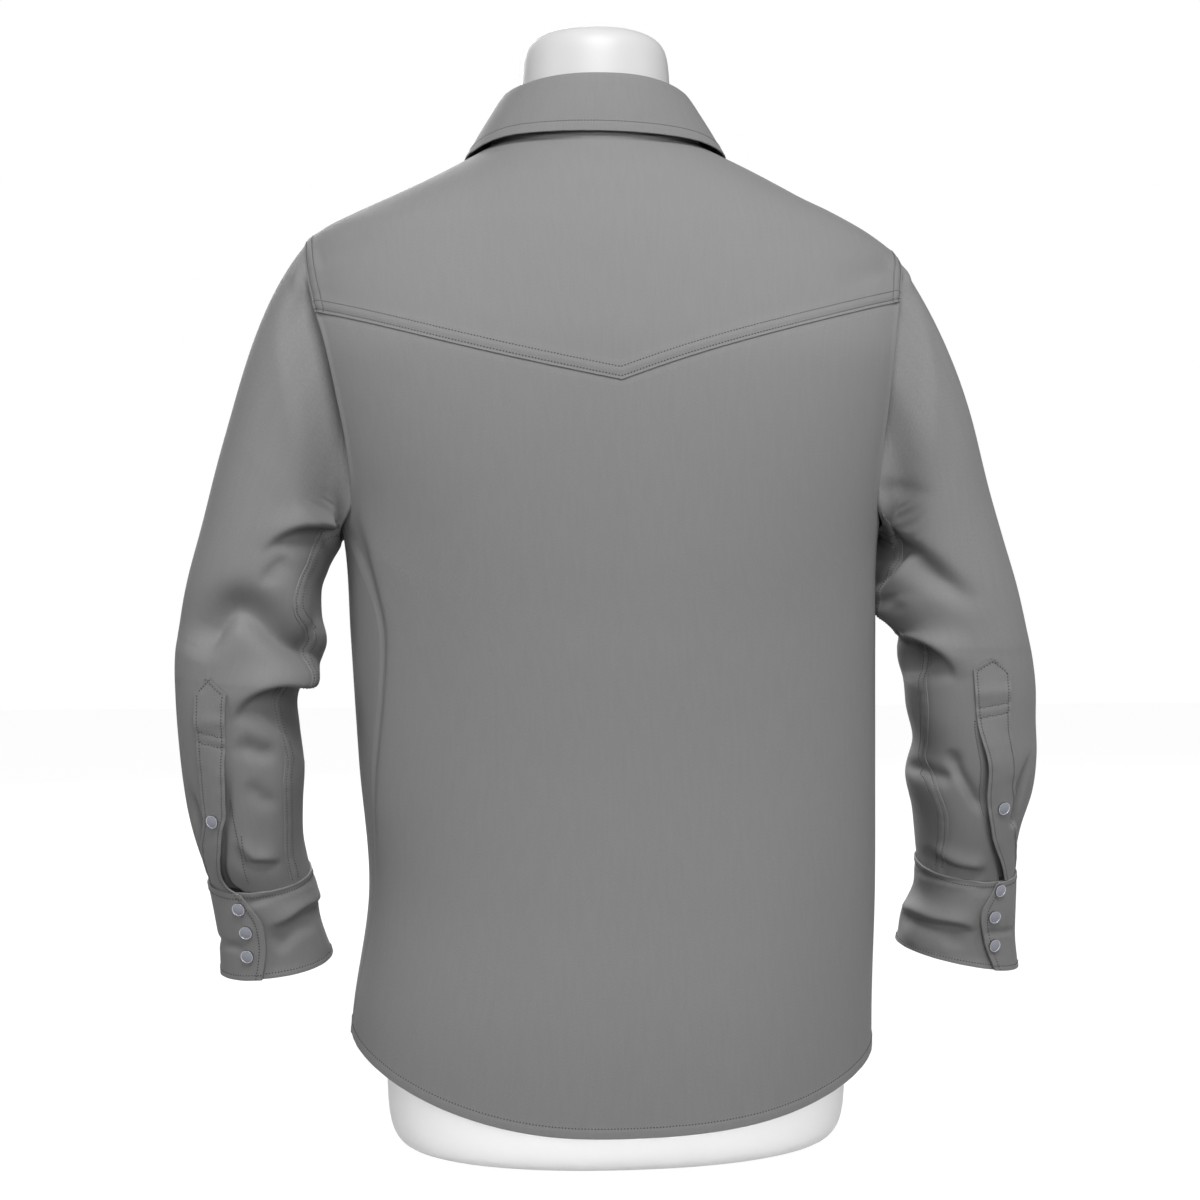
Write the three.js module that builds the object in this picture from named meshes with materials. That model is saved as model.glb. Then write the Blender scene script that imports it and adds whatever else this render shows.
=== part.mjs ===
// A flame-resistant work shirt standing on a limbless torso form.
// Millimetres, +Z up. The front faces -Y and +X is the wearer's left.
// Every cloth piece is a thin wall through rows of points on its outer face.
import * as THREE from 'three';

// ---------------------------------------------------------------- driving sizes
const CLOTH = 1.5; // wall of a cloth piece
const SEAM = 0.3; // space between pieces that meet at a seam
const LAP = 0.5; // space between a piece and the one that laps over it

const CORE = { y: -5, z: 598 }; // the middle of the chest, seen from the side
const HEM = { backLow: 34, frontLow: 42, sideLeft: 92, sideRight: 77 };
const YOKE = { pointX: 9, pointZ: 589.5, bowLeft: -2.5, waveRight: 3 };
const NECK = { side: 14, half: 80, mid: -30, depth: 68 };
const STAND = { half: 72, mid: -32, depth: 63, backTop: 833.5, sideRise: 31.5, frontRise: 35 };
const LEAF = {
  half: 106.5, mid: -33, back: 91, front: 88, backEdge: 791.5, rest: 7, bow: 5,
  riseFrom: 0.35, riseOver: 0.6, firstTurn: -60, lastTurn: 240,
};
const LEAF_ROLL = [ // the roll over the stand: out from its face and up from its top
  { out: -2.2, up: 0.7 },
  { out: -1.9, up: 3.4 },
  { out: 0.9, up: 6.2 },
  { out: 4.6, up: 4.4 },
];
const LEAF_FALL = [0.3, 0.65, 1]; // shares of the way from the roll to the edge
const FRONT_LAP = 18; // half the width of the lap down the front
const FRONT_SNAPS = { number: 6, low: 112, high: 652 }; // below the collar's one
const FRONT_SEAM_NECK = -26; // degrees round the neck from the wearer's left to the yoke seam

// Sections of the shirt's body. side is the middle in X, half the half width,
// mid the Y of the widest place, back and front the Y of the middle of each face.
const BODY = [
  { up: 0, side: 4, half: 208, mid: 0, back: 133, front: -128, power: 2.4 },
  { up: 100, side: 3, half: 206.5, mid: 0, back: 128, front: -127, power: 2.4 },
  { up: 200, side: -5, half: 202, mid: 0, back: 117, front: -125, power: 2.4 },
  { up: 300, side: -1.5, half: 206, mid: 0, back: 111, front: -127, power: 2.4 },
  { up: 400, side: 2, half: 209, mid: 0, back: 113, front: -132, power: 2.45 },
  { up: 470, side: 4.5, half: 211, mid: 0, back: 117, front: -136, power: 2.7 },
  { up: 540, side: 7.5, half: 223, mid: -1, back: 120, front: -137, power: 3 },
  { up: 590, side: 9, half: 234, mid: -2, back: 120, front: -134, power: 3.1 },
  { up: 622, side: 9, half: 241, mid: -3, back: 117, front: -130, power: 3.1 },
  { up: 655, side: 9, half: 245, mid: -4, back: 109, front: -123, power: 2.9 },
  { up: 685, side: 9.5, half: 244, mid: -7, back: 100, front: -114, power: 2.6 },
  { up: 705, side: 11, half: 236, mid: -9, back: 93, front: -106, power: 2.4 },
  { up: 717, side: 11.5, half: 222.5, mid: -11, back: 88, front: -101, power: 2.4 },
  { up: 729, side: 10, half: 203, mid: -13, back: 82, front: -95, power: 2.3 },
  { up: 752, side: 9, half: 158, mid: -18, back: 70, front: -86, power: 2.3 },
  { up: 771, side: 9.5, half: 124, mid: -23, back: 55, front: -80, power: 2.2 },
  { up: 788, side: 12, half: 95, mid: -28, back: 38, front: -73, power: 2.1 },
  { up: 798, side: 14, half: 79, mid: -30, back: 26, front: -67, power: 2 },
  { up: 812, side: 14, half: 50, mid: -30, back: 8, front: -54, power: 2 },
  { up: 826, side: 14, half: 12, mid: -30, back: -22, front: -38, power: 2 },
];

// How far out the armhole lies at each height, on each side of the shirt.
const ARMHOLE = [
  { up: 466, left: 236, right: 228 },
  { up: 485, left: 216, right: 206 },
  { up: 500, left: 208, right: 197 },
  { up: 537, left: 210.5, right: 198 },
  { up: 575, left: 217.5, right: 202 },
  { up: 622, left: 228, right: 206.5 },
  { up: 652, left: 237, right: 212 },
  { up: 680, left: 243, right: 220 },
  { up: 709, left: 246, right: 227 },
  { up: 730, left: 246, right: 227 },
];
const FRONT_SCOOP = 10; // how much further in the front of the armhole lies

// Where the armhole's seams meet it, in degrees from its top towards the back.
const SEAM_ANGLES = {
  left: { front: -12, yoke: 64.1, underarm: 163 },
  right: { front: -12, yoke: 53.2, underarm: 180 },
};

// The side seams: the Y of the seam at each height.
const SIDE_SEAM = [
  { up: 80, left: 16, right: -4 },
  { up: 150, left: 30, right: -5 },
  { up: 230, left: 46, right: -5 },
  { up: 300, left: 57, right: -5 },
  { up: 360, left: 63, right: -5 },
  { up: 412, left: 65, right: -5 },
  { up: 450, left: 54, right: -5 },
  { up: 487, left: 29, right: -5 },
];

// Rings down each sleeve, from below the armhole to the cuff. A ring goes through
// an outer and an inner point, with its own depth, its Y, its lean (degrees that
// its back edge drops as the arm comes forward) and its turn (degrees that the
// cloth is twisted towards the back).
const SLEEVES = {
  left: [
    { outX: 301, outZ: 580, inX: 219.5, inZ: 468, y: -1, depth: 72, lean: 0, turn: 0 },
    { outX: 314, outZ: 532, inX: 228, inZ: 452, y: 0, depth: 71, lean: 0, turn: 0 },
    { outX: 325, outZ: 486, inX: 232, inZ: 436, y: 2, depth: 69, lean: -2, turn: 0 },
    { outX: 336, outZ: 443, inX: 231, inZ: 413, y: 5, depth: 66, lean: -2, turn: 0 },
    { outX: 343, outZ: 405, inX: 230, inZ: 393, y: 7, depth: 63, lean: 0, turn: 0 },
    { outX: 345.5, outZ: 380, inX: 236, inZ: 375, y: 8, depth: 60, lean: 4, turn: 0 },
    { outX: 345, outZ: 353, inX: 247, inZ: 355, y: 7, depth: 58, lean: 8, turn: 0 },
    { outX: 343.5, outZ: 325, inX: 249, inZ: 328, y: 4, depth: 55, lean: 12, turn: 0 },
    { outX: 341, outZ: 293, inX: 247, inZ: 296, y: -2, depth: 53, lean: 13, turn: -2 },
    { outX: 337, outZ: 263, inX: 249, inZ: 266, y: -8, depth: 51, lean: 14, turn: -5 },
    { outX: 330, outZ: 234, inX: 249, inZ: 238, y: -15, depth: 49, lean: 14, turn: -9 },
    { outX: 321, outZ: 209, inX: 244, inZ: 213, y: -21, depth: 41, lean: 14, turn: -13 },
  ],
  right: [
    { outX: 289, outZ: 562, inX: 209, inZ: 462, y: -1, depth: 72, lean: 0, turn: 0 },
    { outX: 299.5, outZ: 520, inX: 207.5, inZ: 446, y: 0, depth: 71, lean: 0, turn: 2 },
    { outX: 310.5, outZ: 480, inX: 208.5, inZ: 437, y: 2, depth: 69, lean: -2, turn: 5 },
    { outX: 322.5, outZ: 438, inX: 216, inZ: 420, y: 5, depth: 66, lean: -2, turn: 8 },
    { outX: 330.5, outZ: 402, inX: 230.5, inZ: 404, y: 7, depth: 62, lean: 0, turn: 11 },
    { outX: 335, outZ: 382, inX: 232, inZ: 386, y: 8, depth: 60, lean: 4, turn: 13 },
    { outX: 338, outZ: 360, inX: 233, inZ: 367, y: 8, depth: 58, lean: 8, turn: 14 },
    { outX: 339, outZ: 334, inX: 236, inZ: 342, y: 6, depth: 56, lean: 11, turn: 14 },
    { outX: 341, outZ: 306, inX: 243, inZ: 312, y: 2, depth: 55, lean: 12, turn: 9 },
    { outX: 340, outZ: 277, inX: 238, inZ: 284, y: -4, depth: 52, lean: 13, turn: 3 },
    { outX: 332, outZ: 246, inX: 247, inZ: 252, y: -11, depth: 49, lean: 14, turn: -5 },
    { outX: 328.5, outZ: 208, inX: 251.5, inZ: 213, y: -19, depth: 41, lean: 14, turn: -12 },
  ],
};

// The cuffs: rings from the sleeve to the open end.
const CUFFS = {
  left: [
    { outX: 321, outZ: 208.4, inX: 244, inZ: 212.4, y: -21, depth: 41, lean: 14, turn: -12 },
    { outX: 318.5, outZ: 184, inX: 238.5, inZ: 190, y: -27, depth: 41, lean: 13, turn: -2 },
    { outX: 315, outZ: 158, inX: 235, inZ: 166, y: -33, depth: 41, lean: 11, turn: 5 },
    { outX: 313.5, outZ: 133, inX: 228, inZ: 142, y: -38, depth: 42, lean: 8, turn: 4 },
  ],
  right: [
    { outX: 328.5, outZ: 207.4, inX: 251.5, inZ: 212.4, y: -19, depth: 41, lean: 14, turn: -11 },
    { outX: 331, outZ: 180, inX: 252, inZ: 188, y: -25, depth: 41, lean: 12, turn: 0 },
    { outX: 332, outZ: 152, inX: 242, inZ: 165, y: -31, depth: 41, lean: 9, turn: 1 },
    { outX: 335.5, outZ: 124, inX: 239.5, inZ: 143, y: -36, depth: 42, lean: 5, turn: -9 },
  ],
};
const SLEEVE_POWER = 2.15;

// The placket's edges and the cuff's free edge, in degrees round the sleeve from
// its outer side towards the back, and the rows of the sleeve that the placket takes.
// The snap's row counts the sleeve's rings.
const PLACKETS = {
  outer: 52, inner: 84, tipRow: 5, tipReach: 0.45, tipWidth: 0.02,
  snapRow: { left: 8.85, right: 9.25 },
};
const CUFF_LAP = { edge: 82, width: 44, ease: 45 };

// The cuff's snaps: shares of its height down from the sleeve, and their space to it.
const CUFF_SNAPS = { left: [0.2, 0.48, 0.77], right: [0.11, 0.39, 0.72], space: 0.5 };

// How the sleeve's cap leaves the armhole, at its underarm and at its top: out from
// the body, towards the back, down, and the least part of it along the body's normal.
const CAP_LEAVE = {
  low: { out: 0.45, up: -0.9, lift: 0.75 },
  high: { out: 0.62, up: -0.75, lift: 0 },
  back: 0.25,
};

// The torso form that the shirt is worn by.
const FORM = [
  { up: 0, side: 0, half: 160, mid: 0, back: 95, front: -94, power: 2.2 },
  { up: 2.5, side: 0, half: 170, mid: 0, back: 107, front: -105, power: 2.2 },
  { up: 9, side: 0, half: 177, mid: 0, back: 115, front: -113, power: 2.2 },
  { up: 22, side: 0, half: 181.5, mid: 0, back: 120, front: -118, power: 2.2 },
  { up: 45, side: 0, half: 183, mid: 0, back: 121, front: -119, power: 2.2 },
  { up: 110, side: 0, half: 185, mid: 0, back: 118, front: -117, power: 2.2 },
  { up: 190, side: 0, half: 181, mid: 0, back: 105, front: -108, power: 2.2 },
  { up: 280, side: 0, half: 170, mid: 0, back: 93, front: -101, power: 2.2 },
  { up: 370, side: 1, half: 166, mid: 0, back: 90, front: -103, power: 2.2 },
  { up: 460, side: 3, half: 174, mid: 0, back: 96, front: -113, power: 2.2 },
  { up: 550, side: 6, half: 186, mid: -2, back: 104, front: -118, power: 2.2 },
  { up: 620, side: 8, half: 197, mid: -3, back: 103, front: -114, power: 2.2 },
  { up: 660, side: 9, half: 205, mid: -4, back: 96, front: -106, power: 2.2 },
  { up: 690, side: 10, half: 208, mid: -7, back: 86, front: -98, power: 2.2 },
  { up: 706, side: 10, half: 204, mid: -9, back: 80, front: -92, power: 2.2 },
  { up: 718, side: 10, half: 196, mid: -11, back: 75, front: -88, power: 2.2 },
  { up: 732, side: 10, half: 187, mid: -14, back: 69, front: -83, power: 2.2 },
  { up: 752, side: 9, half: 151, mid: -18, back: 58, front: -77, power: 2.2 },
  { up: 771, side: 9.5, half: 114, mid: -23, back: 43, front: -74, power: 2.1 },
  { up: 788, side: 12, half: 79, mid: -28, back: 28, front: -66, power: 2.1 },
  { up: 800, side: 14, half: 66.5, mid: -32, back: 21, front: -72, power: 2 },
  { up: 815, side: 14, half: 62.5, mid: -36, back: 18, front: -82, power: 2 },
  { up: 852, side: 14, half: 61.5, mid: -40, back: 14, front: -93, power: 2 },
  { up: 870, side: 14, half: 60, mid: -41, back: 12, front: -92, power: 2 },
  { up: 879, side: 14, half: 57, mid: -42, back: 8.5, front: -90, power: 2 },
  { up: 885, side: 14, half: 51, mid: -42, back: 2, front: -85, power: 2 },
  { up: 889, side: 14, half: 40, mid: -42, back: -8, front: -75, power: 2 },
  { up: 891, side: 14, half: 14, mid: -42, back: -31, front: -54, power: 2 },
];

// How many spaces each grid has.
const STEPS = {
  shoulderSeam: 5, // across the yoke from armhole to neck, on each side
  neckBack: 14, // round the back of the neck
  neckFront: 3, // round the front of the neck, down to the lap
  low: 8, // up the side seam
  armBack: 6, // up the back of the armhole
  armYoke: 7, // over the top of the armhole
  armFront: 8, // up the front of the armhole
  cap: 5, // from the armhole to the sleeve's first ring
  cuffLap: 3, // across the part of the cuff that laps over itself
  cuffRound: 16, // round the rest of the cuff
  form: 40,
};

const GREY = 0x6f6f6f;
const clothMaterial = () => new THREE.MeshStandardMaterial({ color: GREY, roughness: 0.85, metalness: 0 });
const steelMaterial = () => new THREE.MeshStandardMaterial({ color: 0xa8a9b4, roughness: 0.3, metalness: 0.9 });
const formMaterial = () => new THREE.MeshStandardMaterial({ color: 0xf2f2f2, roughness: 0.45, metalness: 0 });

// ---------------------------------------------------------------- small helpers
const V = (x, y, z) => new THREE.Vector3(x, y, z);
const radians = THREE.MathUtils.degToRad;
const degrees = THREE.MathUtils.radToDeg;
const mix = THREE.MathUtils.lerp;
const count = (n) => Array.from({ length: n }, (_, i) => i);
const steps = (n, from, to) => count(n + 1).map((i) => mix(from, to, i / n));
const signedPower = (value, power) => Math.sign(value) * Math.abs(value) ** power;
const ease = (t) => {
  const s = Math.min(1, Math.max(0, t));
  return s * s * (3 - 2 * s);
};

// A smooth curve through one column of a table, read at a height.
function column(table, key, up) {
  const last = table.length - 1;
  if (up <= table[0].up) return table[0][key];
  if (up >= table[last].up) return table[last][key];
  const i = table.findIndex((row) => row.up > up) - 1;
  const slope = (k) => {
    const low = table[Math.max(0, k - 1)];
    const high = table[Math.min(last, k + 1)];
    return (high[key] - low[key]) / (high.up - low.up);
  };
  const span = table[i + 1].up - table[i].up;
  const t = (up - table[i].up) / span;
  const start = table[i][key];
  const end = table[i + 1][key];
  const bend = span * (slope(i) * (1 - t) - slope(i + 1) * t);
  return start + (end - start) * t * t * (3 - 2 * t) + bend * t * (1 - t);
}

function sectionOf(table, up) {
  const section = {};
  for (const key of ['side', 'half', 'mid', 'back', 'front', 'power']) {
    section[key] = column(table, key, up);
  }
  return section;
}

// The middle of the interval where a growing test turns from below zero to above.
function crossing(test, low, high) {
  let a = low;
  let b = high;
  for (let i = 0; i < 40; i += 1) {
    const middle = (a + b) / 2;
    if (test(middle) < 0) a = middle;
    else b = middle;
  }
  return (a + b) / 2;
}

// ---------------------------------------------------------------- the body's surface
// Below zero inside the shirt's body, above zero outside.
function bodyLevel(x, y, z) {
  const s = sectionOf(BODY, z);
  const across = Math.abs(x - s.side) / s.half;
  const along = (y - s.mid) / (y > s.mid ? s.back - s.mid : s.front - s.mid);
  return across ** s.power + Math.abs(along) ** s.power - 1;
}

function bodyNormal(p) {
  const h = 0.5;
  const dx = bodyLevel(p.x + h, p.y, p.z) - bodyLevel(p.x - h, p.y, p.z);
  const dy = bodyLevel(p.x, p.y + h, p.z) - bodyLevel(p.x, p.y - h, p.z);
  const dz = bodyLevel(p.x, p.y, p.z + h) - bodyLevel(p.x, p.y, p.z - h);
  return V(dx, dy, dz).normalize();
}

// Moves a rough point onto the body's surface, away from the middle of the body.
function onBody(rough) {
  const core = V(rough.x * 0.6, CORE.y, Math.min(rough.z, CORE.z));
  const ray = rough.clone().sub(core);
  const reach = crossing((k) => bodyLevel(core.x + ray.x * k, core.y + ray.y * k, core.z + ray.z * k), 0.2, 3);
  return core.addScaledVector(ray, reach);
}

function facePoint(x, z, face) {
  const s = sectionOf(BODY, z);
  const across = Math.min(1, Math.abs(x - s.side) / s.half);
  const depth = (1 - across ** s.power) ** (1 / s.power);
  return V(x, s.mid + (s[face] - s.mid) * depth, z);
}

function sidePoint(hand, y, z) {
  const s = sectionOf(BODY, z);
  const along = (y - s.mid) / (y > s.mid ? s.back - s.mid : s.front - s.mid);
  return V(s.side + hand * s.half * (1 - Math.abs(along) ** s.power) ** (1 / s.power), y, z);
}

function topPoint(x, y) {
  return V(x, y, crossing((z) => bodyLevel(x, y, z), CORE.z, 826));
}

// ---------------------------------------------------------------- seams and edges
const sideName = (hand) => (hand > 0 ? 'left' : 'right');

// A point of the armhole, at an angle from its top towards the back.
function armholePoint(hand, angle) {
  const turn = radians(angle);
  const at = (reach) => {
    const y = CORE.y + reach * Math.sin(turn);
    const z = CORE.z + reach * Math.cos(turn);
    const scoop = FRONT_SCOOP * ease((CORE.y - y) / 60);
    return V(hand * (column(ARMHOLE, sideName(hand), z) - scoop), y, z);
  };
  const reach = crossing((r) => {
    const p = at(r);
    return bodyLevel(p.x, p.y, p.z);
  }, 20, 150);
  return at(reach);
}

function armholeAngles(hand) {
  const seams = SEAM_ANGLES[sideName(hand)];
  return {
    yoke: steps(STEPS.armYoke, seams.front, seams.yoke),
    back: steps(STEPS.armBack, 0, 1).map((t) => mix(seams.yoke, seams.underarm, t ** 1.3)),
    front: steps(STEPS.armFront, seams.underarm, 360 + seams.front),
  };
}

// A point of the hem: turn goes from the wearer's left over the back.
function hemPoint(turn) {
  const lift = Math.abs(Math.sin(turn)) ** (2 / BODY[0].power);
  const low = Math.sin(turn) > 0 ? HEM.backLow : HEM.frontLow;
  const sideHeight = mix(HEM.sideRight, HEM.sideLeft, ease(0.5 + Math.cos(turn)));
  const z = sideHeight - (sideHeight - low) * lift * lift;
  const s = sectionOf(BODY, z);
  const across = signedPower(Math.cos(turn), 2 / s.power);
  const face = Math.sin(turn) > 0 ? s.back : s.front;
  return V(s.side + s.half * across, s.mid + (face - s.mid) * lift, z);
}

const SEAM_TURN = { left: radians(5.5), right: radians(181.5) };
const hemRow = (from, to, n) => steps(n, from, to).map(hemPoint);

// Up one side of the shirt: the side seam, then the armhole's back or front.
function sideEdge(hand, part) {
  const name = sideName(hand);
  const foot = hemPoint(SEAM_TURN[name]);
  const underarm = armholePoint(hand, SEAM_ANGLES[name].underarm);
  const seam = steps(STEPS.low, 0, 1).map((t) => {
    const z = mix(foot.z, underarm.z, t);
    const free = column(SIDE_SEAM, name, z);
    const footPull = foot.y - column(SIDE_SEAM, name, foot.z);
    const pull = mix(footPull, underarm.y - column(SIDE_SEAM, name, underarm.z), t);
    return sidePoint(hand, free + pull, z);
  });
  seam[0] = foot;
  seam[STEPS.low] = underarm;
  const angles = armholeAngles(hand);
  const arm = part === 'back' ? [...angles.back].reverse() : angles.front;
  return [...seam, ...arm.slice(1).map((a) => armholePoint(hand, a))];
}

// The yoke's lower edge, from the wearer's right armhole to the left one.
function yokeLine() {
  const half = STEPS.shoulderSeam + STEPS.neckBack / 2;
  const right = armholePoint(-1, SEAM_ANGLES.right.yoke);
  const left = armholePoint(1, SEAM_ANGLES.left.yoke);
  const toPoint = steps(half, 0, 1).map((t) => facePoint(
    mix(right.x, YOKE.pointX, t),
    mix(right.z, YOKE.pointZ, t) - YOKE.waveRight * Math.sin(2 * Math.PI * t),
    'back',
  ));
  const toLeft = steps(half, 0, 1).map((t) => facePoint(
    mix(YOKE.pointX, left.x, t),
    mix(YOKE.pointZ, left.z, t) + YOKE.bowLeft * Math.sin(Math.PI * t),
    'back',
  ));
  toPoint[0] = right;
  toLeft[half] = left;
  return [...toPoint, ...toLeft.slice(1)];
}

// A point of the neck seam: degrees from the wearer's left over the back.
function neckPoint(angle) {
  const turn = radians(angle);
  return topPoint(NECK.side + NECK.half * Math.cos(turn), NECK.mid + NECK.depth * Math.sin(turn));
}

// The yoke's front seam, from the armhole to the neck.
function shoulderSeam(hand) {
  const arm = armholePoint(hand, SEAM_ANGLES[sideName(hand)].front);
  const neck = neckPoint(hand > 0 ? FRONT_SEAM_NECK : 180 - FRONT_SEAM_NECK);
  const seam = steps(STEPS.shoulderSeam, 0, 1).map((t) => onBody(arm.clone().lerp(neck, t)));
  seam[0] = arm;
  seam[STEPS.shoulderSeam] = neck;
  return seam;
}

// The angles round the neck and the hem that lie a given distance off the front's
// middle. On the hem, a section's cosine is a power of its width.
const neckAngleAt = (offset) => -90 + degrees(Math.asin(offset / NECK.half));

function hemTurnAt(offset) {
  const section = sectionOf(BODY, HEM.frontLow);
  const across = signedPower(offset / section.half, section.power / 2);
  return radians(-90) + Math.asin(across);
}

// The share of a panel's height at each row in its middle: even rows to the level
// that is met by the underarm's row, then rows that follow the armhole's curve.
const MIDDLE_ROWS = { back: 0.66, front: 0.55 };

function middleRows(part, above) {
  const underarm = MIDDLE_ROWS[part];
  const upper = steps(above, 0, 1).slice(1).map((t) => mix(underarm, 1, ease(t)));
  return [...steps(STEPS.low, 0, underarm), ...upper];
}

const BACK_ROWS = middleRows('back', STEPS.armBack);
const FRONT_ROWS = middleRows('front', STEPS.armFront);

// A line up the front, at a set distance from its middle.
function frontLine(offset) {
  const top = neckPoint(neckAngleAt(offset));
  const foot = hemPoint(hemTurnAt(offset));
  return FRONT_ROWS.map((t) => {
    const z = mix(foot.z, top.z, t);
    return facePoint(mix(foot.x, top.x, t), z, 'front');
  });
}

// ---------------------------------------------------------------- grids and walls
// Fills a four-sided patch of the body's surface between its edges. What is uneven
// in a side edge dies away from it, by one power level with it and by others up it.
function bodyPatch(bottom, top, first, last, rise, fade) {
  const wide = bottom.length - 1;
  const tall = first.length - 1;
  const fading = (share, i) => {
    const above = Math.max(0, (i - STEPS.low) / (tall - STEPS.low));
    return V(share ** fade.across, share ** fade.across, share ** mix(fade.up, fade.top, above));
  };
  return count(tall + 1).map((i) => count(wide + 1).map((j) => {
    if (i === 0) return bottom[j].clone();
    if (i === tall) return top[j].clone();
    if (j === 0) return first[i].clone();
    if (j === wide) return last[i].clone();
    const u = j / wide;
    const v = rise[i];
    const near = first[i].clone().sub(bottom[0].clone().lerp(top[0], v)).multiply(fading(1 - u, i));
    const far = last[i].clone().sub(bottom[wide].clone().lerp(top[wide], v)).multiply(fading(u, i));
    return onBody(bottom[j].clone().lerp(top[j], v).add(near).add(far));
  }));
}

// Pulls a row of points away from its seam, square to the seam.
function pullBack(edge, inside, space) {
  const moved = edge.map((p, k) => {
    const along = edge[Math.min(k + 1, edge.length - 1)].clone().sub(edge[Math.max(k - 1, 0)]).normalize();
    const way = inside[k].clone().sub(p);
    way.addScaledVector(along, -way.dot(along)).normalize();
    return p.clone().addScaledVector(way, space);
  });
  edge.forEach((p, k) => p.copy(moved[k]));
}

function trimEdge(grid, edge, space) {
  const tall = grid.length - 1;
  const wide = grid[0].length - 1;
  if (edge === 'bottom') pullBack(grid[0], grid[1], space);
  if (edge === 'top') pullBack(grid[tall], grid[tall - 1], space);
  if (edge === 'first') pullBack(grid.map((row) => row[0]), grid.map((row) => row[1]), space);
  if (edge === 'last') pullBack(grid.map((row) => row[wide]), grid.map((row) => row[wide - 1]), space);
}

function trim(grid, ...edges) {
  edges.forEach((edge) => trimEdge(grid, edge, SEAM * 0.75));
  return grid;
}

// Normals from a grid's own rows; rings close on themselves.
function gridNormals(grid, closed) {
  const tall = grid.length - 1;
  const wide = grid[0].length;
  return grid.map((row, i) => row.map((_, j) => {
    const below = grid[Math.max(0, i - 1)][j];
    const above = grid[Math.min(tall, i + 1)][j];
    const before = closed ? row[(j + wide - 1) % wide] : row[Math.max(0, j - 1)];
    const after = closed ? row[(j + 1) % wide] : row[Math.min(wide - 1, j + 1)];
    return after.clone().sub(before).cross(above.clone().sub(below)).normalize();
  }));
}

const bodyNormals = (grid) => grid.map((row) => row.map(bodyNormal));

// A closed wall on a grid: its outer and inner faces lie at set distances along
// the normals, and its open edges are closed by strips.
function wall(grid, normals, { outer = 0, inner = -CLOTH, closed = false } = {}) {
  const tall = grid.length;
  const wide = grid[0].length;
  const positions = [];
  for (const reach of [outer, inner]) {
    grid.forEach((row, i) => row.forEach((p, j) => {
      positions.push(...p.clone().addScaledVector(normals[i][j], reach).toArray());
    }));
  }
  const at = (face, i, j) => face * tall * wide + i * wide + (j % wide);
  const faces = [];
  const quad = (a, b, c, d) => faces.push(a, b, c, a, c, d);
  const acrossSteps = closed ? wide : wide - 1;
  for (let i = 0; i < tall - 1; i += 1) {
    for (let j = 0; j < acrossSteps; j += 1) {
      quad(at(0, i, j), at(0, i, j + 1), at(0, i + 1, j + 1), at(0, i + 1, j));
      quad(at(1, i, j), at(1, i + 1, j), at(1, i + 1, j + 1), at(1, i, j + 1));
    }
  }
  for (let j = 0; j < acrossSteps; j += 1) {
    quad(at(0, 0, j + 1), at(0, 0, j), at(1, 0, j), at(1, 0, j + 1));
    quad(at(0, tall - 1, j), at(0, tall - 1, j + 1), at(1, tall - 1, j + 1), at(1, tall - 1, j));
  }
  if (!closed) {
    for (let i = 0; i < tall - 1; i += 1) {
      quad(at(0, i, 0), at(0, i + 1, 0), at(1, i + 1, 0), at(1, i, 0));
      quad(at(0, i + 1, wide - 1), at(0, i, wide - 1), at(1, i, wide - 1), at(1, i + 1, wide - 1));
    }
  }
  return turnedOut(positions, faces);
}

// Makes the geometry, with its faces turned outwards.
function turnedOut(positions, faces) {
  let volume = 0;
  const point = (k) => V(...positions.slice(3 * k, 3 * k + 3));
  for (let k = 0; k < faces.length; k += 3) {
    volume += point(faces[k]).dot(point(faces[k + 1]).cross(point(faces[k + 2])));
  }
  if (volume < 0) faces.reverse();
  const geometry = new THREE.BufferGeometry();
  geometry.setAttribute('position', new THREE.Float32BufferAttribute(positions, 3));
  geometry.setIndex(faces);
  return geometry;
}

// ---------------------------------------------------------------- body pieces
const EDGE_FADE = {
  back: { across: 3, up: 5, top: 2 },
  yoke: { across: 1, up: 1, top: 1 },
  front: { across: 1.5, up: 8, top: 1 },
};
const YOKE_LINE = yokeLine();

function backPanelGrid() {
  const bottom = hemRow(SEAM_TURN.right, SEAM_TURN.left, YOKE_LINE.length - 1);
  const grid = bodyPatch(bottom, YOKE_LINE, sideEdge(-1, 'back'), sideEdge(1, 'back'), BACK_ROWS, EDGE_FADE.back);
  return trim(grid, 'top', 'first', 'last');
}

function yokeGrid() {
  const neck = steps(STEPS.neckBack, 180 - FRONT_SEAM_NECK, FRONT_SEAM_NECK).map(neckPoint);
  const top = [...shoulderSeam(-1), ...neck.slice(1, -1), ...shoulderSeam(1).reverse()];
  const edge = (hand) => [...armholeAngles(hand).yoke].reverse().map((a) => armholePoint(hand, a));
  const grid = bodyPatch(YOKE_LINE, top, edge(-1), edge(1), steps(STEPS.armYoke, 0, 1), EDGE_FADE.yoke);
  return trim(grid, 'bottom', 'top', 'first', 'last');
}

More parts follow.
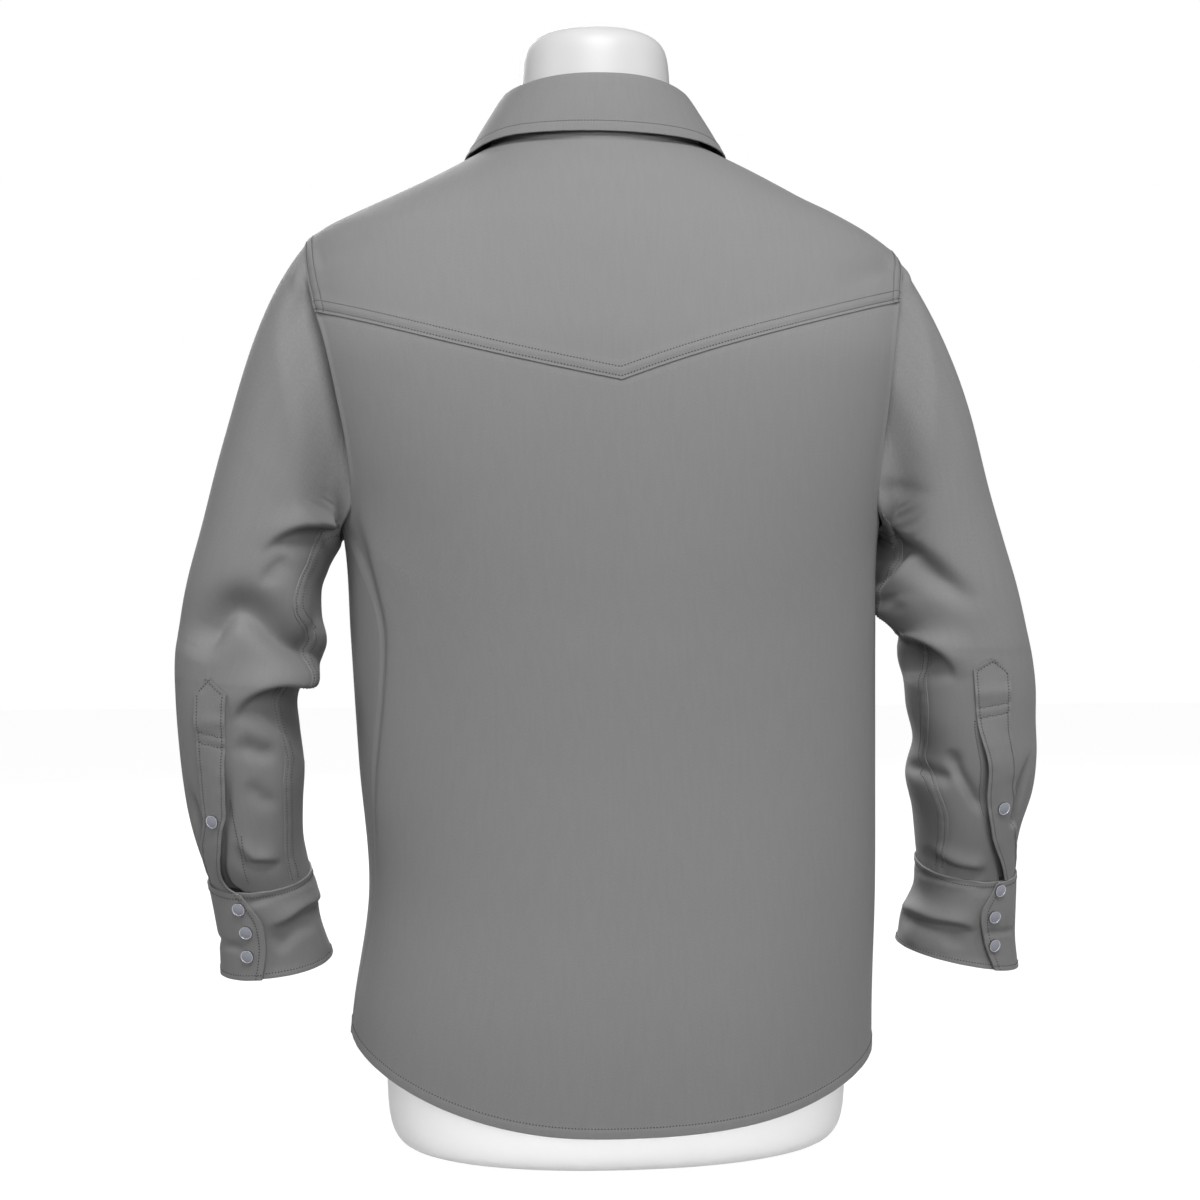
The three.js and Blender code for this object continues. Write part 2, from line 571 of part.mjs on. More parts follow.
// A front, from its side to the lap; then the lap's lines, shared by both fronts.
function frontGrid(hand) {
  const edgeAngle = neckAngleAt(FRONT_LAP);
  const around = (a) => neckPoint(hand > 0 ? a : 180 - a);
  const neck = steps(STEPS.neckFront, FRONT_SEAM_NECK, edgeAngle).map(around);
  const top = [...shoulderSeam(hand), ...neck.slice(1)];
  const inner = frontLine(hand * FRONT_LAP);
  const start = SEAM_TURN[sideName(hand)] - (hand > 0 ? 0 : 2 * Math.PI);
  const bottom = hemRow(start, hemTurnAt(hand * FRONT_LAP), top.length - 1);
  const grid = bodyPatch(bottom, top, sideEdge(hand, 'front'), inner, FRONT_ROWS, EDGE_FADE.front);
  const lap = [0, -hand * FRONT_LAP].map(frontLine);
  grid.forEach((row, i) => row.push(lap[0][i].clone(), lap[1][i].clone()));
  return trim(grid, 'top', 'first');
}

// The lower front sinks by a cloth's thickness where the upper one covers it.
function sunkUnder(grid) {
  const wide = grid[0].length - 1;
  return grid.map((row) => row.map((p, j) => {
    const sunk = j >= wide - 2 ? CLOTH + LAP : 0;
    return p.clone().addScaledVector(bodyNormal(p), -sunk);
  }));
}

// ---------------------------------------------------------------- collar
function standRing(t, angle) {
  const turn = radians(angle);
  const foot = neckPoint(angle);
  const back = Math.max(0, Math.sin(turn));
  const front = Math.max(0, -Math.sin(turn));
  const top = V(NECK.side + STAND.half * Math.cos(turn), STAND.mid + STAND.depth * Math.sin(turn), 0);
  const backRise = STAND.backTop - neckPoint(90).z - STAND.sideRise;
  const rise = mix(STAND.sideRise, STAND.frontRise, front) + backRise * back ** 2;
  top.z = foot.z + rise;
  foot.z += SEAM;
  return foot.lerp(top, t);
}

// The angles round the neck of the collar's columns, those of the fronts and the
// yoke, from the wearer's left over the back; the stand goes on past both to lap.
const COLLAR_ANGLES = [
  ...steps(STEPS.neckFront, neckAngleAt(FRONT_LAP), FRONT_SEAM_NECK),
  ...steps(STEPS.neckBack, FRONT_SEAM_NECK, 180 - FRONT_SEAM_NECK).slice(1),
  ...steps(STEPS.neckFront, 180 - FRONT_SEAM_NECK, 360 + neckAngleAt(-FRONT_LAP)).slice(1),
];

const COLLAR_SPAN = COLLAR_ANGLES[COLLAR_ANGLES.length - 1] - COLLAR_ANGLES[0];

function standGrid() {
  const over = [neckAngleAt(-FRONT_LAP), -90];
  const under = [270, 360 + neckAngleAt(FRONT_LAP)];
  const angles = [...over, ...COLLAR_ANGLES, ...under];
  const last = angles.length - 1;
  const grid = [0, 0.5, 1].map((t) => angles.map((a) => standRing(t, a)));
  const normals = gridNormals(grid, false);
  const lapStart = last - under.length - STEPS.neckFront - 1;
  const sunk = (j) => (CLOTH + LAP) * ease((j - lapStart) / (STEPS.neckFront + 1));
  return grid.map((row, i) => row.map((p, j) => {
    return p.clone().addScaledVector(outwards(p, normals[i][j]), -sunk(j));
  }));
}

// A normal turned away from the neck's middle.
function outwards(p, normal) {
  const away = V(p.x - NECK.side, p.y - NECK.mid, 0);
  return normal.dot(away) < 0 ? normal.clone().negate() : normal.clone();
}

function leafGrid() {
  const columnsOf = COLLAR_ANGLES.map((angle) => {
    const turn = radians(angle);
    const edgeTurn = radians(mix(LEAF.firstTurn, LEAF.lastTurn, (angle - COLLAR_ANGLES[0]) / COLLAR_SPAN));
    const top = standRing(1, angle);
    const away = V(Math.cos(turn) * STAND.depth, Math.sin(turn) * STAND.half, 0).normalize();
    const roll = LEAF_ROLL.map((row) => top.clone().addScaledVector(away, row.out).add(V(0, 0, row.up)));
    const depth = Math.sin(edgeTurn) > 0 ? LEAF.back : LEAF.front;
    const x = NECK.side + LEAF.half * Math.cos(edgeTurn);
    const y = LEAF.mid + depth * Math.sin(edgeTurn);
    const edge = topPoint(x, y);
    edge.z += LEAF.rest;
    const raised = ease((Math.sin(edgeTurn) - LEAF.riseFrom) / LEAF.riseOver);
    edge.z = mix(edge.z, Math.max(edge.z, LEAF.backEdge), raised);
    const start = roll[roll.length - 1];
    const fall = LEAF_FALL.map((f) => start.clone().lerp(edge, f).addScaledVector(away, LEAF.bow * f * (1 - f)));
    return [...roll, ...fall];
  });
  return columnsOf[0].map((_, i) => columnsOf.map((points) => points[i]));
}

// ---------------------------------------------------------------- sleeves and cuffs
function ringPoint(hand, ring, angle) {
  const turn = radians(angle + ring.turn);
  const outer = V(hand * ring.outX, ring.y, ring.outZ);
  const inner = V(hand * ring.inX, ring.y, ring.inZ);
  const across = outer.clone().sub(inner).multiplyScalar(0.5);
  const lean = radians(ring.lean);
  const along = V(0, Math.cos(lean), -Math.sin(lean)).multiplyScalar(ring.depth);
  const c = signedPower(Math.cos(turn), 2 / SLEEVE_POWER);
  const s = signedPower(Math.sin(turn), 2 / SLEEVE_POWER);
  return outer.add(inner).multiplyScalar(0.5).addScaledVector(across, c).addScaledVector(along, s);
}

// The angles round the sleeve: those of the armhole at the top, and below it ones
// that put two lines of the grid on the placket's edges and one on the underarm seam.
const PLACKET_SPACES = 2;
const BEFORE_PLACKET = STEPS.armYoke - PLACKET_SPACES;

function sleeveAngles(hand) {
  const angles = armholeAngles(hand);
  const seams = SEAM_ANGLES[sideName(hand)];
  const arm = [...angles.yoke, ...angles.back.slice(1), ...angles.front.slice(1, -1)];
  const low = [
    ...steps(BEFORE_PLACKET, seams.front, PLACKETS.outer),
    ...steps(PLACKET_SPACES, PLACKETS.outer, PLACKETS.inner).slice(1),
    ...steps(STEPS.armBack, PLACKETS.inner, seams.underarm).slice(1),
    ...steps(STEPS.armFront, seams.underarm, 360 + seams.front).slice(1, -1),
  ];
  return { arm, low };
}

function sleeveGrid(hand) {
  const rings = SLEEVES[sideName(hand)];
  const { arm, low } = sleeveAngles(hand);
  const top = arm.map((a) => armholePoint(hand, a));
  const first = low.map((a) => ringPoint(hand, rings[0], a));
  const second = low.map((a) => ringPoint(hand, rings[1], a));
  const cap = count(STEPS.cap).map((i) => top.map((start, j) => {
    const t = i / STEPS.cap;
    const end = first[j];
    const length = start.distanceTo(end);
    const turn = radians(arm[j]);
    const up = (1 + Math.cos(turn)) / 2;
    const share = (key) => mix(CAP_LEAVE.low[key], CAP_LEAVE.high[key], up);
    const leave = V(hand * share('out'), CAP_LEAVE.back * Math.sin(turn), share('up')).normalize();
    const out = bodyNormal(start);
    leave.addScaledVector(out, Math.max(0, share('lift') - leave.dot(out))).normalize();
    const arrive = second[j].clone().sub(end).normalize();
    const h1 = t * t * (3 - 2 * t);
    const h2 = t * (1 - t) * (1 - t);
    const h3 = -t * t * (1 - t);
    return start.clone().lerp(end, h1).addScaledVector(leave, h2 * length).addScaledVector(arrive, h3 * length);
  }));
  const rest = rings.map((ring) => low.map((a) => ringPoint(hand, ring, a)));
  const grid = [...cap, ...rest];
  trimEdge(grid, 'bottom', SEAM * 1.5);
  return grid;
}

// The seam's own normals, so that the walls on both sides of it end alike.
function sleeveNormals(hand, grid) {
  const normals = gridNormals(grid, true);
  const ring = STEPS.cap + 1;
  const middle = grid[ring].reduce((sum, p) => sum.add(p), V(0, 0, 0)).divideScalar(grid[ring].length);
  const flip = normals[ring][0].dot(grid[ring][0].clone().sub(middle)) < 0 ? -1 : 1;
  normals.forEach((row) => row.forEach((n) => n.multiplyScalar(flip)));
  grid[0].forEach((p, j) => {
    const body = bodyNormal(p);
    const share = Math.min(1, Math.max(0, 3 * body.dot(normals[0][j])));
    normals[0][j].addScaledVector(body, share).normalize();
  });
  return normals;
}

// A strip that lies on the sleeve's grid from the placket's tip down to the cuff.
function placketShell(grid, normals) {
  const first = STEPS.cap + PLACKETS.tipRow + 1;
  const lines = count(PLACKET_SPACES + 1).map((k) => BEFORE_PLACKET + k);
  const middle = lines[1];
  const cells = grid.slice(first).map((row) => lines.map((j) => row[j].clone()));
  const cellNormals = normals.slice(first).map((row) => lines.map((j) => row[j]));
  const tip = grid[first - 1][middle].clone().lerp(grid[first][middle], PLACKETS.tipReach);
  cells.unshift(cells[0].map((p, k) => tip.clone().lerp(p, lines[k] === middle ? 0 : PLACKETS.tipWidth)));
  cellNormals.unshift(cellNormals[0]);
  trimEdge(cells, 'top', SEAM);
  return wall(cells, cellNormals, { outer: LAP + CLOTH, inner: LAP });
}

// The cuff: a strip that starts at its free edge, goes once round under the arm
// and ends beneath its own beginning.
function cuffGrid(hand) {
  const rings = CUFFS[sideName(hand)];
  const lapAngles = steps(STEPS.cuffLap, CUFF_LAP.edge, CUFF_LAP.edge - CUFF_LAP.width);
  const round = steps(STEPS.cuffRound, CUFF_LAP.edge - CUFF_LAP.width, CUFF_LAP.edge - 360).slice(1, -1);
  const angles = [...lapAngles, ...round, ...lapAngles.map((a) => a - 360)];
  const lift = (a) => (CLOTH + LAP) * ease((a - (CUFF_LAP.edge - CUFF_LAP.width - CUFF_LAP.ease)) / CUFF_LAP.ease);
  const grid = rings.map((ring) => angles.map((a) => ringPoint(hand, ring, a)));
  const normals = turnedFrom(grid, gridNormals(grid, false));
  return {
    grid: grid.map((row, i) => row.map((p, j) => p.clone().addScaledVector(normals[i][j], lift(angles[j])))),
    normals,
  };
}

// Normals turned away from each ring's own middle.
function turnedFrom(grid, normals) {
  return grid.map((row, i) => {
    const middle = row.reduce((sum, p) => sum.add(p), V(0, 0, 0)).divideScalar(row.length);
    return row.map((p, j) => {
      const n = normals[i][j];
      return n.dot(p.clone().sub(middle)) < 0 ? n.clone().negate() : n.clone();
    });
  });
}

// ---------------------------------------------------------------- snaps
const SNAP_RADIUS = 5.2;
const SNAP_SIDES = 14;
const SNAP_OUTLINE = [ // in from the rim and up from the cloth, from the foot to the cap's middle
  { inset: SNAP_RADIUS, up: 0 },
  { inset: 0.6, up: 0 },
  { inset: 0, up: 0.7 },
  { inset: 0, up: 1.3 },
  { inset: 0.9, up: 2.2 },
  { inset: SNAP_RADIUS, up: 1.9 },
];

function snapMesh(name, place, normal, offset) {
  const points = SNAP_OUTLINE.map(({ inset, up }) => new THREE.Vector2(SNAP_RADIUS - inset, up));
  const geometry = new THREE.LatheGeometry(points, SNAP_SIDES);
  geometry.rotateX(Math.PI / 2);
  const mesh = new THREE.Mesh(geometry, steelMaterial());
  mesh.name = name;
  mesh.quaternion.setFromUnitVectors(V(0, 0, 1), normal.clone().normalize());
  mesh.position.copy(place).addScaledVector(normal, offset);
  return mesh;
}

// ---------------------------------------------------------------- the form
function formGeometry() {
  const rings = FORM.map((row) => count(STEPS.form).map((j) => {
    const turn = (2 * Math.PI * j) / STEPS.form;
    const c = signedPower(Math.cos(turn), 2 / row.power);
    const s = signedPower(Math.sin(turn), 2 / row.power);
    return V(row.side + row.half * c, row.mid + ((s > 0 ? row.back : row.front) - row.mid) * Math.abs(s), row.up);
  }));
  const positions = rings.flat().flatMap((p) => p.toArray());
  const faces = [];
  const at = (i, j) => i * STEPS.form + (j % STEPS.form);
  for (let i = 0; i < rings.length - 1; i += 1) {
    for (let j = 0; j < STEPS.form; j += 1) {
      faces.push(at(i, j), at(i, j + 1), at(i + 1, j + 1), at(i, j), at(i + 1, j + 1), at(i + 1, j));
    }
  }
  for (const [ring, i] of [[FORM[0], 0], [FORM[FORM.length - 1], FORM.length - 1]]) {
    const middle = positions.length / 3;
    positions.push(ring.side, ring.mid, ring.up);
    for (let j = 0; j < STEPS.form; j += 1) {
      if (i === 0) faces.push(middle, at(i, j + 1), at(i, j));
      else faces.push(middle, at(i, j), at(i, j + 1));
    }
  }
  return turnedOut(positions, faces);
}

// ---------------------------------------------------------------- the scene graph
const shirt = new THREE.Group();

function add(name, geometry, material = clothMaterial()) {
  const mesh = new THREE.Mesh(geometry, material);
  mesh.name = name;
  shirt.add(mesh);
}

function addBody() {
  const back = backPanelGrid();
  add('back_panel', wall(back, bodyNormals(back)));
  const yoke = yokeGrid();
  add('back_yoke', wall(yoke, bodyNormals(yoke)));
  const left = frontGrid(1);
  add('front_left', wall(left, bodyNormals(left)));
  const right = sunkUnder(frontGrid(-1));
  add('front_right', wall(right, bodyNormals(right)));
  addFrontBand(left);
}

function addFrontBand(left) {
  const wide = left[0].length;
  const band = left.map((row) => row.slice(wide - 3));
  const normals = bodyNormals(band);
  add('front_band', wall(band, normals, { outer: LAP + CLOTH, inner: LAP }));
  steps(FRONT_SNAPS.number - 1, FRONT_SNAPS.low, FRONT_SNAPS.high).forEach((z, k) => {
    const next = band.findIndex((row) => row[1].z > z);
    const [below, above] = [band[next - 1][1], band[next][1]];
    const place = below.clone().lerp(above, (z - below.z) / (above.z - below.z));
    shirt.add(snapMesh(`front_snap_${k + 1}`, place, bodyNormal(place), LAP + CLOTH + SEAM));
  });
}

function addCollar() {
  const stand = standGrid();
  const normals = gridNormals(stand, false).map((row, i) => row.map((n, j) => outwards(stand[i][j], n)));
  add('collar_stand', wall(stand, normals));
  shirt.add(snapMesh('front_snap_7', stand[1][1], normals[1][1], SEAM));
  const leaf = leafGrid();
  const leafNormals = gridNormals(leaf, false);
  const flip = leafNormals[leaf.length - 1][leaf[0].length >> 1].y < 0 ? -1 : 1;
  leafNormals.forEach((row) => row.forEach((n) => n.multiplyScalar(flip)));
  add('collar_leaf', wall(leaf, leafNormals));
}

// What lies on one line of a grid, between two of its rows.
function between(grid, row, line) {
  const low = Math.floor(row);
  return grid[low][line].clone().lerp(grid[low + 1][line], row - low);
}

function addSleeve(hand) {
  const name = sideName(hand);
  const grid = sleeveGrid(hand);
  const normals = sleeveNormals(hand, grid);
  add(`sleeve_${name}`, wall(grid, normals, { closed: true }));
  add(`sleeve_placket_${name}`, placketShell(grid, normals));
  const line = BEFORE_PLACKET + 1;
  const row = STEPS.cap + PLACKETS.snapRow[name];
  const lift = LAP + CLOTH + SEAM;
  shirt.add(snapMesh(`sleeve_snap_${name}`, between(grid, row, line), between(normals, row, line), lift));
  const cuff = cuffGrid(hand);
  add(`cuff_${name}`, wall(cuff.grid, cuff.normals));
  CUFF_SNAPS[name].forEach((share, k) => {
    const level = share * (cuff.grid.length - 1);
    const place = between(cuff.grid, level, 1);
    shirt.add(snapMesh(`cuff_snap_${name}_${k + 1}`, place, between(cuff.normals, level, 1), CUFF_SNAPS.space));
  });
}

add('dress_form', formGeometry(), formMaterial());
addBody();
addCollar();
addSleeve(1);
addSleeve(-1);

export default shirt;
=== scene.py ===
import math

import bpy
import numpy as np
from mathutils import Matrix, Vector, kdtree
from mathutils.bvhtree import BVHTree


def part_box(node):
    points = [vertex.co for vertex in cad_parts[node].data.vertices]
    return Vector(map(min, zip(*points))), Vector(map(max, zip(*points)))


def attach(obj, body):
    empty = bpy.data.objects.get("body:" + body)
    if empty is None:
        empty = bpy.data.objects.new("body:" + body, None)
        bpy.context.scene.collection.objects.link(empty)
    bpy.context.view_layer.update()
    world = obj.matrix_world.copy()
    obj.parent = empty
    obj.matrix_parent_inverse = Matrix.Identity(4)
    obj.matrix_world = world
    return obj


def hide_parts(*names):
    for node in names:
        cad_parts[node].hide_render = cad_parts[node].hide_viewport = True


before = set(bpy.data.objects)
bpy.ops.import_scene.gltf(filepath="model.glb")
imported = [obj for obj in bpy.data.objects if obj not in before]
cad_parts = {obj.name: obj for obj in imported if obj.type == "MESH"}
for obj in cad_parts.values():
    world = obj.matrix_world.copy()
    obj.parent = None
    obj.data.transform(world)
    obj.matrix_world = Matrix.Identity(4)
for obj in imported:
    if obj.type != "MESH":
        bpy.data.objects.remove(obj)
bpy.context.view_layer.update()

MM = 0.001  # shapes are worked out in millimetres, as the part's source does


# ------------------------------------------------------------------ camera, floor and light
CAMERA_DISTANCE = 1.5
CAMERA_HEIGHT = 0.427
CAMERA_TURN = 6  # degrees from straight behind, towards the wearer's left
CAMERA_FILM, CAMERA_LENS = 36, 56.25  # millimetres
CAMERA_SHIFT = -0.0142  # brings the shirt into the middle of the frame


def make_camera():
    data = bpy.data.cameras.new("camera")
    data.sensor_width, data.lens = CAMERA_FILM, CAMERA_LENS
    data.shift_x = CAMERA_SHIFT
    camera = bpy.data.objects.new("camera", data)
    bpy.context.collection.objects.link(camera)
    turn = math.radians(CAMERA_TURN)
    camera.location = (CAMERA_DISTANCE * math.sin(turn), CAMERA_DISTANCE * math.cos(turn), CAMERA_HEIGHT)
    camera.rotation_euler = (math.radians(90), 0, math.radians(180) - turn)
    bpy.context.scene.camera = camera


# Each light's place, what it points at, its size (all in metres) and its power in watts.
LIGHTS = {
    "key": ((-0.1, 1.7, 2.6), (0, 0, 0.6), (1.2, 0.9), 51),
    "fill": ((0, 2.7, 1.1), (0, 0, 0.7), (1.6, 1.0), 25),
    "left": ((2.3, 1.1, 1.5), (0, 0, 0.6), (0.7, 1.2), 15),
    "right": ((-2.3, 1.1, 1.5), (0, 0, 0.6), (0.7, 1.2), 12),
    "front": ((0.5, -2.3, 1.7), (0, 0, 0.5), (1.4, 1.4), 76),
}
FORM_LIGHT = ((0.1, 1.5, 0.1), (0, 0, 0.03), (1.6, 0.2), 4.2)
FORM_LIGHT_SPREAD = 60  # degrees; the others spread evenly


def area_light(name, place, target, size, power, spread=180):
    data = bpy.data.lights.new(name, "AREA")
    data.shape = "RECTANGLE"
    data.spread = math.radians(spread)
    data.size, data.size_y = size
    data.energy = power
    light = bpy.data.objects.new(name, data)
    bpy.context.collection.objects.link(light)
    light.location = place
    way = Vector(target) - Vector(place)
    light.rotation_euler = way.to_track_quat("-Z", "Y").to_euler()
    return light


def make_studio():
    scene = bpy.context.scene
    scene.view_settings.view_transform = "Standard"
    make_backdrop(scene)
    for name, light in LIGHTS.items():
        area_light(name, *light)
    make_floor()


def light_the_form(form):
    """A low light for the white form alone, whose foot stands in the shirt's shade."""
    light = area_light("form_light", *FORM_LIGHT, spread=FORM_LIGHT_SPREAD)
    group = bpy.data.collections.new("lit_form")
    group.objects.link(form)
    light.light_linking.receiver_collection = group


def make_backdrop(scene):
    """A white backdrop that gives the shirt only a little light."""
    world = bpy.data.worlds.new("studio")
    world.use_nodes = True
    tree = world.node_tree
    soft = tree.nodes["Background"]
    soft.inputs["Strength"].default_value = 0.12
    soft.inputs["Color"].default_value = (1, 1, 1, 1)
    white = tree.nodes.new("ShaderNodeBackground")
    white.inputs["Color"].default_value = (1, 1, 1, 1)
    seen = tree.nodes.new("ShaderNodeLightPath")
    both = tree.nodes.new("ShaderNodeMixShader")
    tree.links.new(seen.outputs["Is Camera Ray"], both.inputs["Fac"])
    tree.links.new(soft.outputs["Background"], both.inputs[1])
    tree.links.new(white.outputs["Background"], both.inputs[2])
    tree.links.new(both.outputs["Shader"], tree.nodes["World Output"].inputs["Surface"])
    scene.world = world


def make_floor():
    """A plain white floor; it throws no light back up at the shirt."""
    bpy.ops.mesh.primitive_plane_add(size=12, location=(0, 0, 0))
    floor = bpy.context.object
    floor.name = "floor"
    floor.visible_diffuse = False
    material = new_material("floor_paint")
    shader = material.node_tree.nodes["Principled BSDF"]
    shader.inputs["Base Color"].default_value = (0.12, 0.12, 0.12, 1)
    shader.inputs["Roughness"].default_value = 0.9
    shader.inputs["Specular IOR Level"].default_value = 0.0
    shader.inputs["Emission Color"].default_value = (1, 1, 1, 1)
    shader.inputs["Emission Strength"].default_value = 0.96
    floor.data.materials.append(material)


# ------------------------------------------------------------------ materials
def new_material(name):
    material = bpy.data.materials.new(name)
    material.use_nodes = True
    return material


class Nodes:
    """Adds and joins the nodes of one material."""

    def __init__(self, material):
        self.tree = material.node_tree
        self.shader = self.tree.nodes["Principled BSDF"]

    def add(self, kind, **settings):
        node = self.tree.nodes.new("ShaderNode" + kind)
        for key, value in settings.items():
            if hasattr(node, key):
                setattr(node, key, value)
            else:
                node.inputs[key.replace("_", " ")].default_value = value
        return node

    def join(self, source, target, output=0, socket=0):
        self.tree.links.new(source.outputs[output], target.inputs[socket])

    def ramp(self, source, low, high):
        """A tone between two colours, each given with the value where it starts."""
        node = self.add("ValToRGB")
        for element, (position, colour) in zip(node.color_ramp.elements, (low, high)):
            element.position, element.color = position, (*colour, 1)
        self.join(source, node)
        return node

    def speckle(self, scale, detail):
        """Noise that keeps its place on the piece."""
        noise = self.add("TexNoise", Scale=scale, Detail=detail)
        self.join(self.add("TexCoord"), noise, "Object")
        return noise

    def surface(self, **settings):
        for key, value in settings.items():
            self.shader.inputs[key.replace("_", " ")].default_value = value

    def math(self, operation, first, second):
        node = self.add("Math", operation=operation)
        for socket, value in enumerate((first, second)):
            if isinstance(value, (int, float)):
                node.inputs[socket].default_value = value
            else:
                self.join(value, node, 0, socket)
        return node


def cloth_material():
    """Smooth cotton twill: fine slanting ribs, a soft slub and a faint sheen."""
    material = new_material("grey_twill")
    n = Nodes(material)
    uv = n.add("UVMap", uv_map="cut")
    slanted = n.add("Mapping")
    slanted.inputs["Rotation"].default_value = (0, 0, math.radians(58))
    n.join(uv, slanted)
    ribs = n.add("TexWave", wave_type="BANDS", Scale=0.45, Distortion=0.5, Detail=1.0, Detail_Scale=2.0)
    n.join(slanted, ribs)
    yarn = n.add("TexNoise", Scale=1.1, Detail=3.0, Roughness=0.6)
    n.join(uv, yarn)
    streaked = n.add("Mapping")
    streaked.inputs["Scale"].default_value = (0.3, 0.035, 1)
    n.join(uv, streaked)
    cloud = n.add("TexNoise", Scale=1.0, Detail=4.0, Roughness=0.6)
    n.join(streaked, cloud)
    tone = n.ramp(cloud, (0.3, (0.226,) * 3), (0.7, (0.238,) * 3))
    fine = n.ramp(yarn, (0.25, (0.89,) * 3), (0.75, (1.1,) * 3))
    mixed = n.add("Mix", data_type="RGBA", blend_type="MULTIPLY")
    mixed.inputs["Factor"].default_value = 1.0
    n.tree.links.new(tone.outputs["Color"], mixed.inputs["A"])
    n.tree.links.new(fine.outputs["Color"], mixed.inputs["B"])
    n.tree.links.new(mixed.outputs["Result"], n.shader.inputs["Base Color"])
    height = n.math("ADD", n.math("MULTIPLY", ribs, 0.6), n.math("MULTIPLY", yarn, 0.7))
    bump = n.add("Bump", Strength=0.5, Distance=0.0002)
    n.join(height, bump, 0, "Height")
    n.join(bump, n.shader, 0, "Normal")
    n.surface(Roughness=0.78, Sheen_Weight=0.06, Sheen_Roughness=0.45, Specular_IOR_Level=0.3)
    return material


def painted_shade_thread_material():
    material = new_material("thread_with_painted_shade")
    n = Nodes(material)
    # Painted shade: the thread is coloured near-black, far darker than the grey thread itself, to stand in
    # for the shadow of the needle holes and between stitches.
    tone = n.ramp(n.speckle(900.0, 2.0), (0.3, (0.035,) * 3), (0.7, (0.06,) * 3))
    n.join(tone, n.shader, 0, "Base Color")
    n.surface(Roughness=0.6)
    return material


def form_material():
    """Smooth white moulded form with a soft satin coat."""
    material = new_material("form_white")
    n = Nodes(material)
    tone = n.ramp(n.speckle(4.0, 2.0), (0.3, (0.6,) * 3), (0.7, (0.63,) * 3))
    n.join(tone, n.shader, 0, "Base Color")
    bump = n.add("Bump", Strength=0.05, Distance=0.0002)
    n.join(n.speckle(260.0, 2.0), bump, 0, "Height")
    n.join(bump, n.shader, 0, "Normal")
    n.surface(Roughness=0.42)
    return material


def steel_material(name, tone, roughness, metallic):
    """Metal or enamel with fine scratches."""
    material = new_material(name)
    n = Nodes(material)
    scratched = tuple(0.85 * c for c in tone)
    n.join(n.ramp(n.speckle(1400.0, 3.0), (0.3, scratched), (0.7, tone)), n.shader, 0, "Base Color")
    n.surface(Roughness=roughness, Metallic=metallic)
    return material


# ------------------------------------------------------------------ driving sizes, in millimetres
CLOTH = 1.2  # one layer of cloth
LAP = 0.6  # space under a layer that laps over another
CORE_Y, CORE_Z = -5, 598  # the middle of the chest, seen from the side
HEM = {"back_low": 34, "front_low": 42, "side_left": 92, "side_right": 77}
YOKE = {"point_x": 9, "point_z": 589.5, "bow_left": -3.6, "bow_right": 2.6}
NECK = {"side": 14, "half": 80, "mid": -30, "depth": 68}
STAND = {"half": 72, "mid": -32, "depth": 63, "back_top": 833.5, "side_rise": 31.5, "front_rise": 35}
LEAF = {"half": 106.5, "mid": -33, "back": 79, "front": 88, "back_edge": 791, "rest": 4}
LEAF_TURNS = (-60, 240)  # the leaf's two points, in degrees round the neck
FRONT_LAP = 18  # half the width of the lap down the front
FRONT_SEAM_NECK = -26  # degrees round the neck from the wearer's left to the shoulder seam
# Rough lengths, which set how many rows of points a piece is cut into.
LENGTHS = {
    "side_seam": 400, "back_armhole": 178, "front_armhole": 262, "back_width": 440,
    "yoke_height": 190, "front_width": 270, "front_height": 650,
}


def table(columns, *rows):
    return {name: np.array(values, float) for name, values in zip(columns.split(), zip(*rows))}


# Sections of the shirt's body: the middle in X, half the width, the Y of the widest
# place, the Y of the back's and the front's middle, and the power of the outline.
BODY = table(
    "up side half mid back front power",
    (0, 4, 208, 0, 133, -128, 2.4),
    (100, 3, 206.5, 0, 128, -127, 2.4),
    (200, -5, 202, 0, 117, -125, 2.4),
    (300, -1.5, 206, 0, 111, -127, 2.4),
    (400, 2, 209, 0, 113, -132, 2.45),
    (470, 4.5, 211, 0, 117, -136, 2.7),
    (540, 7.5, 223, -1, 120, -137, 3),
    (590, 9, 234, -2, 120, -134, 3.1),
    (622, 9, 241, -3, 117, -130, 3.1),
    (655, 9, 245, -4, 109, -123, 2.9),
    (685, 9.5, 244, -7, 100, -114, 2.6),
    (705, 11, 236, -9, 93, -106, 2.4),
    (717, 11.5, 222.5, -11, 88, -101, 2.4),
    (729, 10, 203, -13, 82, -95, 2.3),
    (752, 9, 158, -18, 70, -86, 2.3),
    (771, 9.5, 124, -23, 55, -80, 2.2),
    (788, 12, 95, -28, 38, -73, 2.1),
    (798, 14, 79, -30, 26, -67, 2),
    (812, 14, 50, -30, 8, -54, 2),
    (826, 14, 12, -30, -22, -38, 2),
)
# How far out the armhole lies at each height.
ARMHOLE = table(
    "up left right",
    (466, 236, 228),
    (485, 216, 206),
    (500, 208, 197),
    (537, 210.5, 198),
    (575, 217.5, 202),
    (622, 228, 206.5),
    (652, 237, 212),
    (680, 243, 220),
    (709, 246, 227),
    (730, 246, 227),
)
FRONT_SCOOP = 10  # how much further in the front of the armhole lies
# Where the armhole's seams meet it, in degrees from its top towards the back.
SEAM_ANGLES = {
    "left": {"front": -12, "yoke": 57, "underarm": 163},
    "right": {"front": -12, "yoke": 48.6, "underarm": 180},
}
# The Y of the side seams at each height.
SIDE_SEAM = table(
    "up left right",
    (80, 16, -4),
    (150, 30, -5),
    (230, 39, -5),
    (300, 48, -5),
    (360, 60, -5),
    (412, 65, -5),
    (450, 54, -5),
    (487, 29, -5),
)
SEAM_TURN = {"left": math.radians(5.5), "right": math.radians(181.5)}  # the side seams' feet

